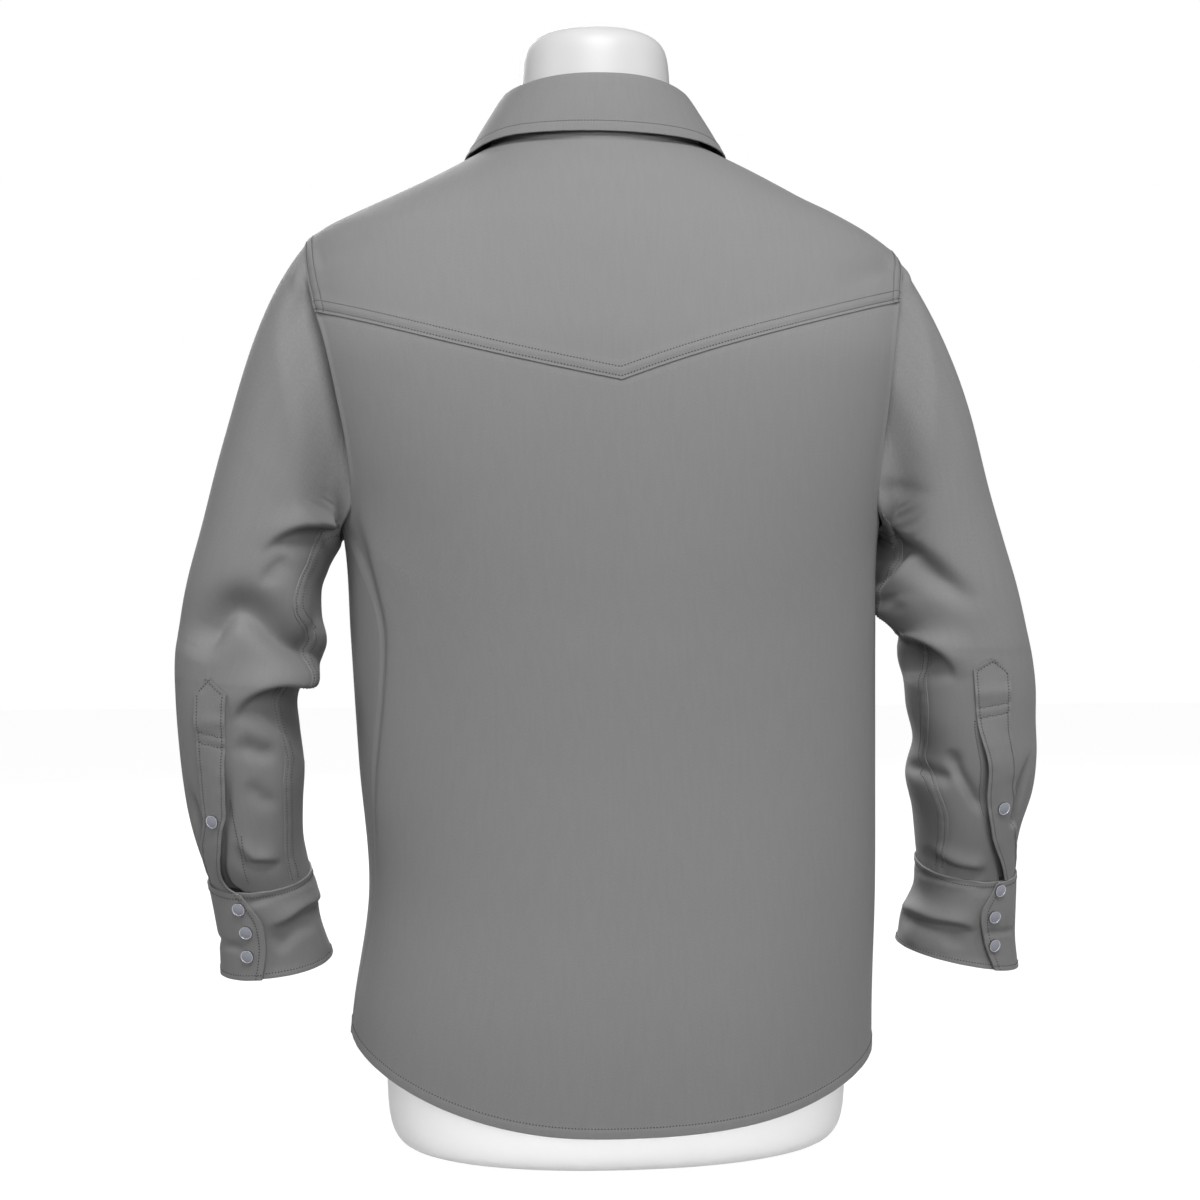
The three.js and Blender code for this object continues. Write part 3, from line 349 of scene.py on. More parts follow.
# Rings down each sleeve: an outer and an inner point, the ring's Y and depth, the
# lean of its back edge and the twist of its cloth, in degrees.
RING = "up out_x out_z in_x in_z y depth lean turn"
SLEEVES = {
    "left": table(
        RING,
        (0, 301, 580, 219.5, 468, -1, 72, 0, 0),
        (1, 314, 532, 228, 452, 0, 71, 0, 0),
        (2, 325, 486, 232, 436, 2, 69, -2, 0),
        (3, 336, 443, 231, 413, 5, 66, -2, 0),
        (4, 343, 405, 230, 393, 7, 63, 0, 0),
        (5, 345.5, 380, 236, 375, 8, 60, 4, 0),
        (6, 345, 353, 247, 355, 7, 58, 8, 0),
        (7, 343.5, 325, 249, 328, 4, 55, 12, 0),
        (8, 341, 293, 247, 296, -2, 53, 13, -2),
        (9, 337, 263, 249, 266, -8, 51, 14, -5),
        (10, 330, 234, 249, 238, -15, 49, 14, -9),
        (11, 321, 209, 244, 213, -21, 41, 14, -13),
    ),
    "right": table(
        RING,
        (0, 289, 562, 209, 462, -1, 72, 0, 0),
        (1, 299.5, 520, 207.5, 446, 0, 71, 0, 2),
        (2, 310.5, 480, 208.5, 437, 2, 69, -2, 5),
        (3, 322.5, 438, 216, 420, 5, 66, -2, 8),
        (4, 330.5, 402, 230.5, 404, 7, 62, 0, 11),
        (5, 335, 382, 232, 386, 8, 60, 4, 13),
        (6, 338, 360, 233, 367, 8, 58, 8, 14),
        (7, 339, 334, 236, 342, 6, 56, 11, 14),
        (8, 341, 306, 243, 312, 2, 55, 12, 9),
        (9, 340, 277, 238, 284, -4, 52, 13, 3),
        (10, 332, 246, 247, 252, -11, 49, 14, -5),
        (11, 328.5, 208, 251.5, 213, -19, 41, 14, -12),
    ),
}
CUFFS = {
    "left": table(
        RING,
        (0, 321, 208.4, 244, 212.4, -21, 41, 14, -12),
        (1, 318.5, 184, 238.5, 190, -27, 41, 13, -2),
        (2, 315, 158, 235, 166, -33, 41, 11, 5),
        (3, 313.5, 133, 228, 142, -38, 42, 8, 4),
    ),
    "right": table(
        RING,
        (0, 328.5, 207.4, 251.5, 212.4, -19, 41, 14, -11),
        (1, 331, 180, 252, 188, -25, 41, 12, 0),
        (2, 332, 152, 242, 165, -31, 41, 9, 1),
        (3, 335.5, 124, 239.5, 143, -36, 42, 5, -9),
    ),
}
LAST_RING = 11
SLEEVE_POWER = 2.15  # the power of the rings' outline
CAP_TURN = {"left": 64.1, "right": 53.2}  # where the armhole meets the placket's line
CAP_LEAVE = {"left": 0.6, "right": 0.22}  # how far out the sleeve heads start
CUFF_LAP = {"width": 44, "ease": 45}  # degrees round the cuff

# The line of the underarm seam, and the placket's two edges and the cuff's free
# edge, in degrees round the sleeve at each of its levels.
SEAM_PATH = {
    "left": table(
        "up turn",
        (0, 163), (0.5, 151), (1, 142), (1.7, 137), (2.6, 135), (3.6, 127), (3.95, 126), (4.25, 131),
        (4.6, 144), (5.05, 152), (5.65, 152), (6.2, 149), (6.6, 142), (6.95, 133), (7.45, 133.5),
        (8, 135), (8.5, 138.5), (9, 135), (9.85, 140), (10.4, 142.5), (11.6, 143), (12, 143),
    ),
    "right": table(
        "up turn",
        (0, 180), (0.6, 158), (1.25, 150), (2, 151), (3.15, 153), (3.9, 158), (4.3, 159.5), (5.15, 147),
        (6.35, 137), (7.35, 130.5), (8.05, 132), (8.7, 143), (9.15, 150), (9.45, 145), (9.8, 131.5),
        (10.4, 126), (11.05, 132), (11.75, 140), (12, 141),
    ),
}
PLACKETS = {
    "left": table(
        "up outer inner",
        (6.6, 56, 84), (7.9, 56.5, 84), (8.4, 57, 82.5), (9.3, 58, 82.5), (9.65, 59.5, 83), (10.05, 57, 79.5),
        (10.55, 50, 77), (11.3, 44, 72), (11.7, 40, 74), (12, 36, 84),
    ),
    "right": table(
        "up outer inner",
        (6.3, 59, 88), (7.5, 58.5, 86), (8.1, 59, 85), (9.2, 61, 85.5), (9.6, 62, 86), (10.1, 58, 87),
        (10.6, 56, 87.5), (11.05, 52, 86), (11.6, 42, 76), (12, 30, 69),
    ),
}
PLACKET_TIPS = {"left": (6.2, 67), "right": (5.9, 73.5)}
CUFF_EDGES = {
    "left": table("up turn", (0, 85), (0.5, 89), (1.05, 90.5), (1.57, 87), (2.18, 82), (3, 76)),
    "right": table("up turn", (0, 80), (0.4, 83), (0.85, 87), (1.2, 85.5), (1.9, 77), (3, 76)),
}


# ------------------------------------------------------------------ small helpers
def ease(t):
    t = np.clip(t, 0, 1)
    return t * t * (3 - 2 * t)


def hill(distance, width):
    return np.exp(-((distance / width) ** 2))


def mix(a, b, t):
    return a + (b - a) * t


def signed_power(value, power):
    return np.sign(value) * np.abs(value) ** power


def unit(vectors):
    return vectors / np.maximum(np.linalg.norm(vectors, axis=-1, keepdims=True), 1e-9)


def column(rows, key, up):
    """A smooth curve through one column of a table, read at each height."""
    x, y = rows["up"], rows[key]
    slopes = np.empty_like(y)
    slopes[1:-1] = (y[2:] - y[:-2]) / (x[2:] - x[:-2])
    slopes[0] = (y[1] - y[0]) / (x[1] - x[0])
    slopes[-1] = (y[-1] - y[-2]) / (x[-1] - x[-2])
    up = np.clip(up, x[0], x[-1])
    i = np.clip(np.searchsorted(x, up, side="right") - 1, 0, len(x) - 2)
    span = x[i + 1] - x[i]
    t = (up - x[i]) / span
    bend = span * (slopes[i] * (1 - t) - slopes[i + 1] * t)
    return y[i] + (y[i + 1] - y[i]) * t * t * (3 - 2 * t) + bend * t * (1 - t)


HALVINGS = 30


def crossing(test, low, high, like):
    """Where a growing test turns from below zero to above, for each place in like."""
    a = np.full(np.shape(like), float(low))
    b = np.full(np.shape(like), float(high))
    for _ in range(HALVINGS):
        middle = (a + b) / 2
        below = test(middle) < 0
        a = np.where(below, middle, a)
        b = np.where(below, b, middle)
    return (a + b) / 2


def arc_lengths(line):
    steps = np.linalg.norm(np.diff(line, axis=0), axis=1)
    return np.concatenate([[0], np.cumsum(steps)])


def line_at(line, shares):
    """Points at shares of a line's length."""
    along = arc_lengths(line)
    at = np.asarray(shares) * along[-1]
    return np.stack([np.interp(at, along, line[:, k]) for k in range(3)], -1)


STEP = 3.0  # the usual distance between points of cloth
FINE_STEP = 1.3  # and in the band beside a seam
SEAM_BAND = 13


def shares_for(length, step=STEP, start=True, end=True):
    """Shares of a length: even steps, finer in the bands beside its two ends."""
    low = SEAM_BAND if start else 0
    high = SEAM_BAND if end else 0
    parts = [
        np.linspace(0, low, round(low / FINE_STEP) + 1)[:-1],
        np.linspace(low, length - high, max(2, round((length - low - high) / step)) + 1),
        np.linspace(length - high, length, round(high / FINE_STEP) + 1)[1:],
    ]
    return np.concatenate(parts) / length


def waves(along, seed, length=11):
    """A soft uneven ripple along a line, between about -1 and 1."""
    total = np.zeros_like(np.asarray(along, float))
    for k, stretch in enumerate((1.0, 1.7, 2.9)):
        total += np.sin(2 * math.pi * along / (length * stretch) + seed * (k + 1.3)) / (1 + 0.5 * k)
    return total / 2.1


# ------------------------------------------------------------------ the body's surface
def body_section(up):
    return {key: column(BODY, key, up) for key in ("side", "half", "mid", "back", "front", "power")}


def body_level(p):
    """Below zero inside the body, above zero outside."""
    s = body_section(p[..., 2])
    across = np.abs(p[..., 0] - s["side"]) / s["half"]
    face = np.where(p[..., 1] > s["mid"], s["back"], s["front"])
    along = np.abs((p[..., 1] - s["mid"]) / (face - s["mid"]))
    return across ** s["power"] + along ** s["power"] - 1


NORMAL_STEP = 1.5


def body_normals(p):
    slopes = []
    for axis in range(3):
        step = np.zeros(3)
        step[axis] = NORMAL_STEP
        slopes.append(body_level(p + step) - body_level(p - step))
    return unit(np.stack(slopes, -1))


def on_body(rough):
    """Carries rough points out from the middle of the chest onto the body."""
    core = np.stack(
        [rough[..., 0] * 0.6, np.full(rough.shape[:-1], CORE_Y), np.minimum(rough[..., 2], CORE_Z)], -1
    )
    ray = rough - core
    reach = crossing(lambda k: body_level(core + ray * k[..., None]), 0.2, 3, rough[..., 0])
    return core + ray * reach[..., None]


def face_point(x, z, face):
    """A point of the back or the front, by its X and height."""
    s = body_section(z)
    across = np.clip(np.abs(x - s["side"]) / s["half"], 0, 1)
    depth = (1 - across ** s["power"]) ** (1 / s["power"])
    return np.stack([x, s["mid"] + (s[face] - s["mid"]) * depth, z], -1)


def side_point(hand, y, z):
    s = body_section(z)
    face = np.where(y > s["mid"], s["back"], s["front"])
    along = np.abs((y - s["mid"]) / (face - s["mid"]))
    x = s["side"] + hand * s["half"] * (1 - along ** s["power"]) ** (1 / s["power"])
    return np.stack([x, y, z], -1)


def top_point(x, y):
    z = crossing(lambda up: body_level(np.stack([x, y, up], -1)), CORE_Z, BODY["up"][-1], x)
    return np.stack([x, y, z], -1)


# ------------------------------------------------------------------ seams and edges
LINE = 160  # points in each seam before it is cut into steps


def side_name(hand):
    return "left" if hand > 0 else "right"


ARMHOLE_REACH = (20, 150)  # the armhole lies between these, out from the middle


def armhole_point(hand, angle):
    turn = np.radians(angle)

    def at(reach):
        y = CORE_Y + reach * np.sin(turn)
        z = CORE_Z + reach * np.cos(turn)
        scoop = FRONT_SCOOP * ease((CORE_Y - y) / 60)
        return np.stack([hand * (column(ARMHOLE, side_name(hand), z) - scoop), y, z], -1)

    return at(crossing(lambda r: body_level(at(r)), *ARMHOLE_REACH, turn))


def armhole_line(hand, start, stop):
    """Part of the armhole, between two of its seams."""
    seams = {**SEAM_ANGLES[side_name(hand)]}
    seams["end"] = 360 + seams["front"]
    return armhole_point(hand, np.linspace(seams[start], seams[stop], LINE))


def hem_point(turn):
    lift = np.abs(np.sin(turn)) ** (2 / BODY["power"][0])
    low = np.where(np.sin(turn) > 0, HEM["back_low"], HEM["front_low"])
    side = mix(HEM["side_right"], HEM["side_left"], ease(0.5 + np.cos(turn)))
    z = side - (side - low) * lift * lift
    s = body_section(z)
    across = signed_power(np.cos(turn), 2 / s["power"])
    face = np.where(np.sin(turn) > 0, s["back"], s["front"])
    return np.stack([s["side"] + s["half"] * across, s["mid"] + (face - s["mid"]) * lift, z], -1)


def side_line(hand):
    """The side seam, from the hem to the underarm."""
    name = side_name(hand)
    foot = hem_point(np.array(SEAM_TURN[name]))
    under = armhole_point(hand, np.array(SEAM_ANGLES[name]["underarm"], float))
    t = np.linspace(0, 1, LINE)
    z = mix(foot[2], under[2], t)
    foot_pull, under_pull = (end[1] - column(SIDE_SEAM, name, end[2]) for end in (foot, under))
    pull = mix(foot_pull, under_pull, t)
    return side_point(hand, column(SIDE_SEAM, name, z) + pull, z)


def yoke_line():
    """The yoke's lower edge, from the right armhole over its point to the left one."""
    t = np.linspace(0, 1, LINE)
    right, left = (
        armhole_point(hand, np.array(SEAM_ANGLES[side_name(hand)]["yoke"], float)) for hand in (-1, 1)
    )
    point_x, point_z = YOKE["point_x"], YOKE["point_z"]
    right_bow = YOKE["bow_right"] * np.sin(math.pi * t**1.8)
    left_bow = YOKE["bow_left"] * np.sin(math.pi * t)
    to_point = face_point(mix(right[0], point_x, t), mix(right[2], point_z, t) + right_bow, "back")
    to_left = face_point(mix(point_x, left[0], t), mix(point_z, left[2], t) + left_bow, "back")
    return np.concatenate([to_point, to_left[1:]])


def neck_point(angle):
    turn = np.radians(angle)
    return top_point(NECK["side"] + NECK["half"] * np.cos(turn), NECK["mid"] + NECK["depth"] * np.sin(turn))


def shoulder_seam(hand):
    arm = armhole_point(hand, np.array(SEAM_ANGLES[side_name(hand)]["front"], float))
    neck = neck_point(np.array(FRONT_SEAM_NECK if hand > 0 else 180 - FRONT_SEAM_NECK, float))
    return on_body(mix(arm, neck, np.linspace(0, 1, LINE)[:, None]))


def neck_angle_at(offset):
    return -90 + math.degrees(math.asin(offset / NECK["half"]))


def hem_turn_at(offset):
    s = body_section(HEM["front_low"])
    return math.radians(-90) + math.asin(signed_power(offset / s["half"], s["power"] / 2))


def front_line(offset, shares):
    """A line up the front at a set distance from its middle."""
    top = neck_point(np.array(neck_angle_at(offset), float))
    foot = hem_point(np.array(hem_turn_at(offset)))
    return face_point(mix(foot[0], top[0], shares), mix(foot[2], top[2], shares), "front")


# ------------------------------------------------------------------ grids of cloth
def body_patch(bottom, top, first, last, across, rise, low, fade):
    """Fills a four-sided patch of the body between its edges, as rows of points."""
    tall = len(first) - 1
    v = np.asarray(rise)[:, None, None]
    above = np.clip((np.arange(tall + 1) - low) / max(1, tall - low), 0, 1)
    up_power = mix(fade["up"], fade["top"], above)[:, None]

    def fading(share):
        level = np.repeat((share ** fade["across"])[None], tall + 1, 0)
        return np.stack([level, level, share[None] ** up_power], -1)

    near = first[:, None] - mix(bottom[0], top[0], v)
    far = last[:, None] - mix(bottom[-1], top[-1], v)
    rough = mix(bottom[None], top[None], v) + near * fading(1 - across) + far * fading(across)
    grid = on_body(rough)
    grid[0], grid[-1], grid[:, 0], grid[:, -1] = bottom, top, first, last
    return grid


def raised(grid, normals, relief):
    """A grid moved out by its relief, and its new normals, on the same side."""
    grid = grid + normals * relief[..., None]
    fresh = grid_normals(grid)
    return grid, fresh * np.sign((fresh * normals).sum(-1).mean())


def grid_normals(grid, closed=False):
    """Normals from a grid's own rows; rings close on themselves."""
    up = np.gradient(grid, axis=0)
    if closed:
        across = np.roll(grid, -1, 1) - np.roll(grid, 1, 1)
    else:
        across = np.gradient(grid, axis=1)
    return unit(np.cross(across, up))


def distances(grid, line):
    """How far each point of a grid is from a seam, and how far along the seam."""
    length = arc_lengths(line)[-1]
    points = line_at(line, np.linspace(0, 1, int(length) + 2))
    tree = kdtree.KDTree(len(points))
    for k, p in enumerate(points):
        tree.insert(p, k)
    tree.balance()
    found = [tree.find(p) for p in grid.reshape(-1, 3)]
    far = np.array([f[2] for f in found]).reshape(grid.shape[:2])
    along = np.array([f[1] for f in found]).reshape(grid.shape[:2]) * length / (len(points) - 1)
    return far, along


DOUBLE_ROW = (2.4, 9.0)  # the two rows of a felled seam, in from its edge
SEWN_DEPTH, SEWN_WIDTH = 0.35, 1.1  # how a sewn row presses the cloth in


def felled_seam(far, along, seed, step, ridge=0.2):
    """The relief of a felled seam: a lapped edge, two sewn rows and a ridge between."""
    ridge = ridge * hill(far - sum(DOUBLE_ROW) / 2, 2.6)
    sewn = sum(SEWN_DEPTH * hill(far - row, SEWN_WIDTH) for row in DOUBLE_ROW)
    pucker = 0.22 * waves(along, seed) * hill(far - 6, 7)
    lapped = step * (1 - ease((far - DOUBLE_ROW[1] + 1) / 7))
    return lapped + ridge - sewn + pucker


def sewn_edge(far, along, seed, row):
    """The relief of a turned edge with one sewn row."""
    turned = 0.45 * (1 - ease((far - row + 0.5) / 2.5))
    pucker = 0.25 * waves(along, seed, 14) * hill(far - row * 0.6, 6)
    return turned - SEWN_DEPTH * hill(far - row, SEWN_WIDTH) + pucker


def sewn_line(grid, normals, far, inset, side):
    """The line on a grid at a distance from one of its sides: its points and normals."""
    if side in ("first", "last"):
        grid, normals, far = (np.swapaxes(a, 0, 1) for a in (grid, normals, far))
    if side in ("top", "last"):
        grid, normals, far = grid[::-1], normals[::-1], far[::-1]
    reached = far >= inset
    k = np.argmax(reached, axis=0)
    good = reached.any(axis=0) & (k > 0)
    j = np.nonzero(good)[0]
    k = k[good]
    t = ((inset - far[k - 1, j]) / np.maximum(far[k, j] - far[k - 1, j], 1e-6))[:, None]
    return mix(grid[k - 1, j], grid[k, j], t), unit(mix(normals[k - 1, j], normals[k, j], t))


FOLD_POINTS = 25  # points that a fold's line is smoothed to


def segment_distance(p, line):
    """Signed distance of flat points from a bent line, left of it above zero, and
    the share along it."""
    line = np.asarray(line, float)
    along = arc_lengths(line)
    at = np.linspace(0, along[-1], FOLD_POINTS)
    line = np.stack([spline(along, line[:, k], at) for k in range(2)], -1)
    lengths = np.linalg.norm(np.diff(line, axis=0), axis=1)
    start = arc_lengths(line)
    best = np.full(p.shape[:-1], 1e9)
    signed = np.zeros_like(best)
    share = np.zeros_like(best)
    for k, (a, b) in enumerate(zip(line[:-1], line[1:])):
        way = (b - a) / lengths[k]
        t = np.clip((p - a) @ way, 0, lengths[k])
        off = p - a - t[..., None] * way
        d = np.linalg.norm(off, axis=-1)
        closer = d < best
        left = np.where(off[..., 1] * way[0] - off[..., 0] * way[1] < 0, -1, 1)
        best = np.where(closer, d, best)
        signed = np.where(closer, d * left, signed)
        share = np.where(closer, (start[k] + t) / start[-1], share)
    return signed, share


def spline(knots, values, at):
    """A smooth curve through a few values."""
    return column({"up": np.asarray(knots, float), "value": np.asarray(values, float)}, "value", at)


STEP_SOFTNESS = 2.4  # how gently a step goes from standing up to sinking


def fold(p, kind, line, depth, left, right, fades):
    """A fold along a line of X and Z. A "step" stands up on the line's left and
    sinks on its right; a "trough" sinks on both. It dies away at its two ends."""
    signed, share = segment_distance(p, line)
    amount = depth * np.ones_like(share)
    if fades[0]:
        amount = amount * ease(share / fades[0])
    if fades[1]:
        amount = amount * ease((1 - share) / fades[1])
    fall = hill(signed, np.where(signed > 0, left, right))
    return amount * fall * (np.tanh(signed / STEP_SOFTNESS) if kind == "step" else -1)


# ------------------------------------------------------------------ meshes
def mesh_object(name, points, faces, material, uv=None):
    mesh = bpy.data.meshes.new(name)
    mesh.from_pydata((np.asarray(points) * MM).tolist(), [], faces)
    if uv is not None:
        layer = mesh.uv_layers.new(name="cut")
        corners = np.empty(len(mesh.loops), dtype=np.int32)
        mesh.loops.foreach_get("vertex_index", corners)
        layer.data.foreach_set("uv", np.asarray(uv, np.float32)[corners].ravel())
    mesh.materials.append(material)
    mesh.shade_smooth()
    mesh.set_sharp_from_angle(angle=math.radians(50))
    made = bpy.data.objects.new(name, mesh)
    bpy.context.collection.objects.link(made)
    return made


def quads(tall, wide, closed, base, flip):
    i, j = np.meshgrid(np.arange(tall - 1), np.arange(wide if closed else wide - 1), indexing="ij")
    k = (j + 1) % wide
    corners = [i * wide + j, i * wide + k, (i + 1) * wide + k, (i + 1) * wide + j]
    stacked = np.stack([c.ravel() for c in corners], -1) + base
    return stacked[:, ::-1] if flip else stacked


ROUNDING = 0.3  # how far an edge bulges, as a share of its thickness


def cloth_wall(name, outer, normals, material, thickness=CLOTH, closed=False):
    """A thin closed shell with its outer face on a grid, and rounded edges."""
    tall, wide = outer.shape[:2]
    inner = outer - normals * thickness
    count = tall * wide
    i, j = tall // 2, wide // 2
    uv = np.stack(np.meshgrid(arc_lengths(outer[i]), arc_lengths(outer[:, j])), -1).reshape(-1, 2)
    way = np.cross(outer[i, j + 1] - outer[i, j], outer[i + 1, j] - outer[i, j])
    flip = way @ normals[i, j] < 0
    faces = [quads(tall, wide, closed, 0, flip), quads(tall, wide, closed, count, not flip)]
    points = [outer.reshape(-1, 3), inner.reshape(-1, 3)]
    uvs = [uv, uv]
    rims = [(np.arange(wide), outer[0] - outer[1], closed, True),
            (np.arange(wide) + (tall - 1) * wide, outer[-1] - outer[-2], closed, False)]
    if not closed:
        rims += [(np.arange(tall) * wide, outer[:, 0] - outer[:, 1], False, False),
                 (np.arange(tall) * wide + wide - 1, outer[:, -1] - outer[:, -2], False, True)]
    base = 2 * count
    for index, away, ring, turned in rims:
        middle = (points[0][index] + points[1][index]) / 2 + unit(away) * thickness * ROUNDING
        points.append(middle)
        uvs.append(uv[index])
        n = len(index)
        a = np.arange(n if ring else n - 1)
        b = (a + 1) % n
        mid = base + np.arange(n)
        upper = np.stack([index[a], index[b], mid[b], mid[a]], -1)
        lower = np.stack([mid[a], mid[b], index[b] + count, index[a] + count], -1)
        both = np.concatenate([upper, lower])
        faces.append(both[:, ::-1] if turned != flip else both)
        base += n
    faces = np.concatenate(faces).tolist()
    return mesh_object(name, np.concatenate(points), faces, material, np.concatenate(uvs))


STITCH = {"length": 1.35, "pitch": 2.4, "radius": 0.45, "lift": 0.15, "sunk": 0.7}
STITCH_SHOULDERS = (0.28, 0.72)  # shares of its length where it is thickest


def stitches(name, rows, material):
    """Short lengths of thread laid along sewn rows, as one mesh."""
    points, faces = [], []
    corner = [(1, 0), (0, 1), (-1, 0), (0, -1)]
    for line, normals in rows:
        along = arc_lengths(line)
        total = int(along[-1] / STITCH["pitch"])
        if total < 2:
            continue
        centres = (np.arange(total) + 0.5) * along[-1] / total

        def read(at, data):
            return np.stack([np.interp(at, along, data[:, k]) for k in range(3)], -1)

        half = STITCH["length"] / 2
        up = unit(read(centres, normals))
        start, end = (read(centres + way, line) + up * STITCH["lift"] for way in (-half, half))
        side = np.cross(unit(end - start), up)
        r = STITCH["radius"]
        for a, b, u, s in zip(start, end, up, side):
            base = len(points)
            points += [a - u * r * STITCH["sunk"], b - u * r * STITCH["sunk"]]
            for share in STITCH_SHOULDERS:
                middle = a + (b - a) * share
                points += [middle + (s * x + u * y) * r for x, y in corner]
            for k in range(4):
                n = (k + 1) % 4
                faces.append((base, base + 2 + n, base + 2 + k))
                faces.append((base + 2 + k, base + 2 + n, base + 6 + n, base + 6 + k))
                faces.append((base + 1, base + 6 + k, base + 6 + n))
    return mesh_object(name, points, faces, material)


# ------------------------------------------------------------------ body pieces
MIDDLE_ROWS = {"back": 0.66, "front": 0.48}  # the underarm's share of the rise at the middle
# How fast an edge's own shape dies away across the piece.
EDGE_FADE = {
    "back": {"across": 3, "up": 5, "top": 2},
    "yoke": {"across": 1, "up": 1, "top": 1},
    "front": {"across": 1.5, "up": 8, "top": 1},
}


def snap_to(shares, value):
    """Moves the nearest share onto a value, so that a corner falls on a line."""
    shares = shares.copy()
    shares[np.argmin(np.abs(shares - value))] = value
    return shares


def panel_rows(part):
    """Shares up the side seam and up the armhole, and the rise of the middle rows."""
    low = shares_for(LENGTHS["side_seam"], end=False)
    arm = shares_for(LENGTHS[part + "_armhole"], start=False, end=part == "back")[1:]
    under = MIDDLE_ROWS[part]
    rise = np.concatenate([low * under, mix(under, 1, ease(arm))])
    return low, arm, rise


def edge_of(hand, part, low, arm):
    """A panel's outer edge: up the side seam and then up the armhole."""
    stops = ("underarm", "yoke") if part == "back" else ("underarm", "end")
    armhole = armhole_line(hand, *stops)
    return np.concatenate([line_at(side_line(hand), low), line_at(armhole, arm)])


# The ridge of the drape beside the left sleeve, as X and Z.
SIDE_RIDGE = [(196, 200), (190, 290), (184, 360), (183, 405), (190, 440), (199, 475), (208, 507)]


def back_folds(p):
    """Broad soft waves of the hanging back, and that drape on its own."""
    x, z = p[..., 0], p[..., 2]
    lower = ease((560 - z) / 420)
    hang = 1.1 * np.sin((x + 70) / 44) * lower + 0.6 * np.sin((x - 20) / 23 + z / 160) * lower
    flat = p[..., [0, 2]]
    turned = fold(flat, "step", SIDE_RIDGE, 3.2, 26, 40, (0.25, 0.2))
    return hang, turned


def yoke_shares(line):
    """Shares across the back, with one on the yoke's point."""
    along = arc_lengths(line)
    return snap_to(shares_for(LENGTHS["back_width"]), along[LINE - 1] / along[-1])


HEM_ROW = 7.2  # the hem's sewn row, up from its edge
NECK_BINDING = 3.2  # how far the neck's seam stands out


def make_back(cloth, rows):
    line = yoke_line()
    low, arm, rise = panel_rows("back")
    us = yoke_shares(line)
    hem = hem_point(np.linspace(SEAM_TURN["right"], SEAM_TURN["left"], 2 * LINE))
    first, last = edge_of(-1, "back", low, arm), edge_of(1, "back", low, arm)
    bottom, top = line_at(hem, us), line_at(line, us)
    grid = body_patch(bottom, top, first, last, us, rise, len(low) - 1, EDGE_FADE["back"])
    normals = body_normals(grid)
    edges = {"bottom": hem, "first": first, "last": last}
    found = {side: distances(grid, edge) for side, edge in edges.items()}
    inside = ease(np.minimum(found["first"][0], found["last"][0]) / 30)
    hang, turned = back_folds(grid)
    relief = hang * inside + turned * ease(found["last"][0] / 12)
    relief += sewn_edge(*found["bottom"], 3.1, HEM_ROW)
    from_top, _ = distances(grid, line)
    relief -= 0.3 * (1 - ease(from_top / 6))
    rim = 0.6 * ease((440 - grid[..., 2]) / 40) + 0.8 * ease((grid[..., 2] - 480) / 40)
    for side in ("first", "last"):
        relief += rim * (1 - ease(found[side][0] / 4))
    grid, normals = raised(grid, normals, relief)
    rows.append(sewn_line(grid, normals, found["bottom"][0], HEM_ROW, "bottom"))
    return cloth_wall("back_panel_cloth", grid, normals, cloth)


# Soft pulls across the yoke towards the two armholes.
YOKE_FOLDS = [
    ("trough", [(-216, 690), (-182, 676), (-146, 666)], 2.0, 13, 8, (0.1, 0.6)),
    ("trough", [(238, 684), (210, 692), (176, 704)], 1.8, 8, 13, (0.1, 0.6)),
    ("trough", [(-170, 741), (-120, 745), (-70, 752)], 1.0, 16, 10, (0.3, 0.5)),
]


def make_yoke(cloth, rows):
    line = yoke_line()
    us, vs = yoke_shares(line), shares_for(LENGTHS["yoke_height"])
    neck = neck_point(np.linspace(180 - FRONT_SEAM_NECK, FRONT_SEAM_NECK, LINE))
    top = np.concatenate([shoulder_seam(-1), neck[1:-1], shoulder_seam(1)[::-1]])
    first, last = (armhole_line(hand, "front", "yoke")[::-1] for hand in (-1, 1))
    sides = (line_at(line, us), line_at(top, us), line_at(first, vs), line_at(last, vs))
    grid = body_patch(*sides, us, vs, 0, EDGE_FADE["yoke"])
    normals = body_normals(grid)
    edges = {"bottom": line, "first": first, "last": last}
    found = {side: distances(grid, edge) for side, edge in edges.items()}
    relief = np.zeros(grid.shape[:2])
    for seed, side in ((0.4, "bottom"), (1.9, "first"), (2.7, "last")):
        relief = np.maximum(relief, 0) + felled_seam(*found[side], seed, step=0.7)
    for hand in (-1, 1):
        from_seam, _ = distances(grid, shoulder_seam(hand))
        relief += 0.4 * (1 - ease((from_seam - DOUBLE_ROW[0]) / 2))
    from_neck, _ = distances(grid, neck)
    relief += NECK_BINDING * (1 - ease((from_neck - 3) / 5)) - 0.4 * hill(from_neck - 6, 1)
    inside = ease(found["bottom"][0] / 14) * ease(from_neck / 20)
    relief += inside * sum(fold(grid[..., [0, 2]], *each) for each in YOKE_FOLDS)
    grid, normals = raised(grid, normals, relief)
    for side in edges:
        for inset in DOUBLE_ROW:
            rows.append(sewn_line(grid, normals, found[side][0], inset, side))
    return cloth_wall("back_yoke_cloth", grid, normals, cloth)


LAP_COLUMNS = 13  # columns of points across the lap


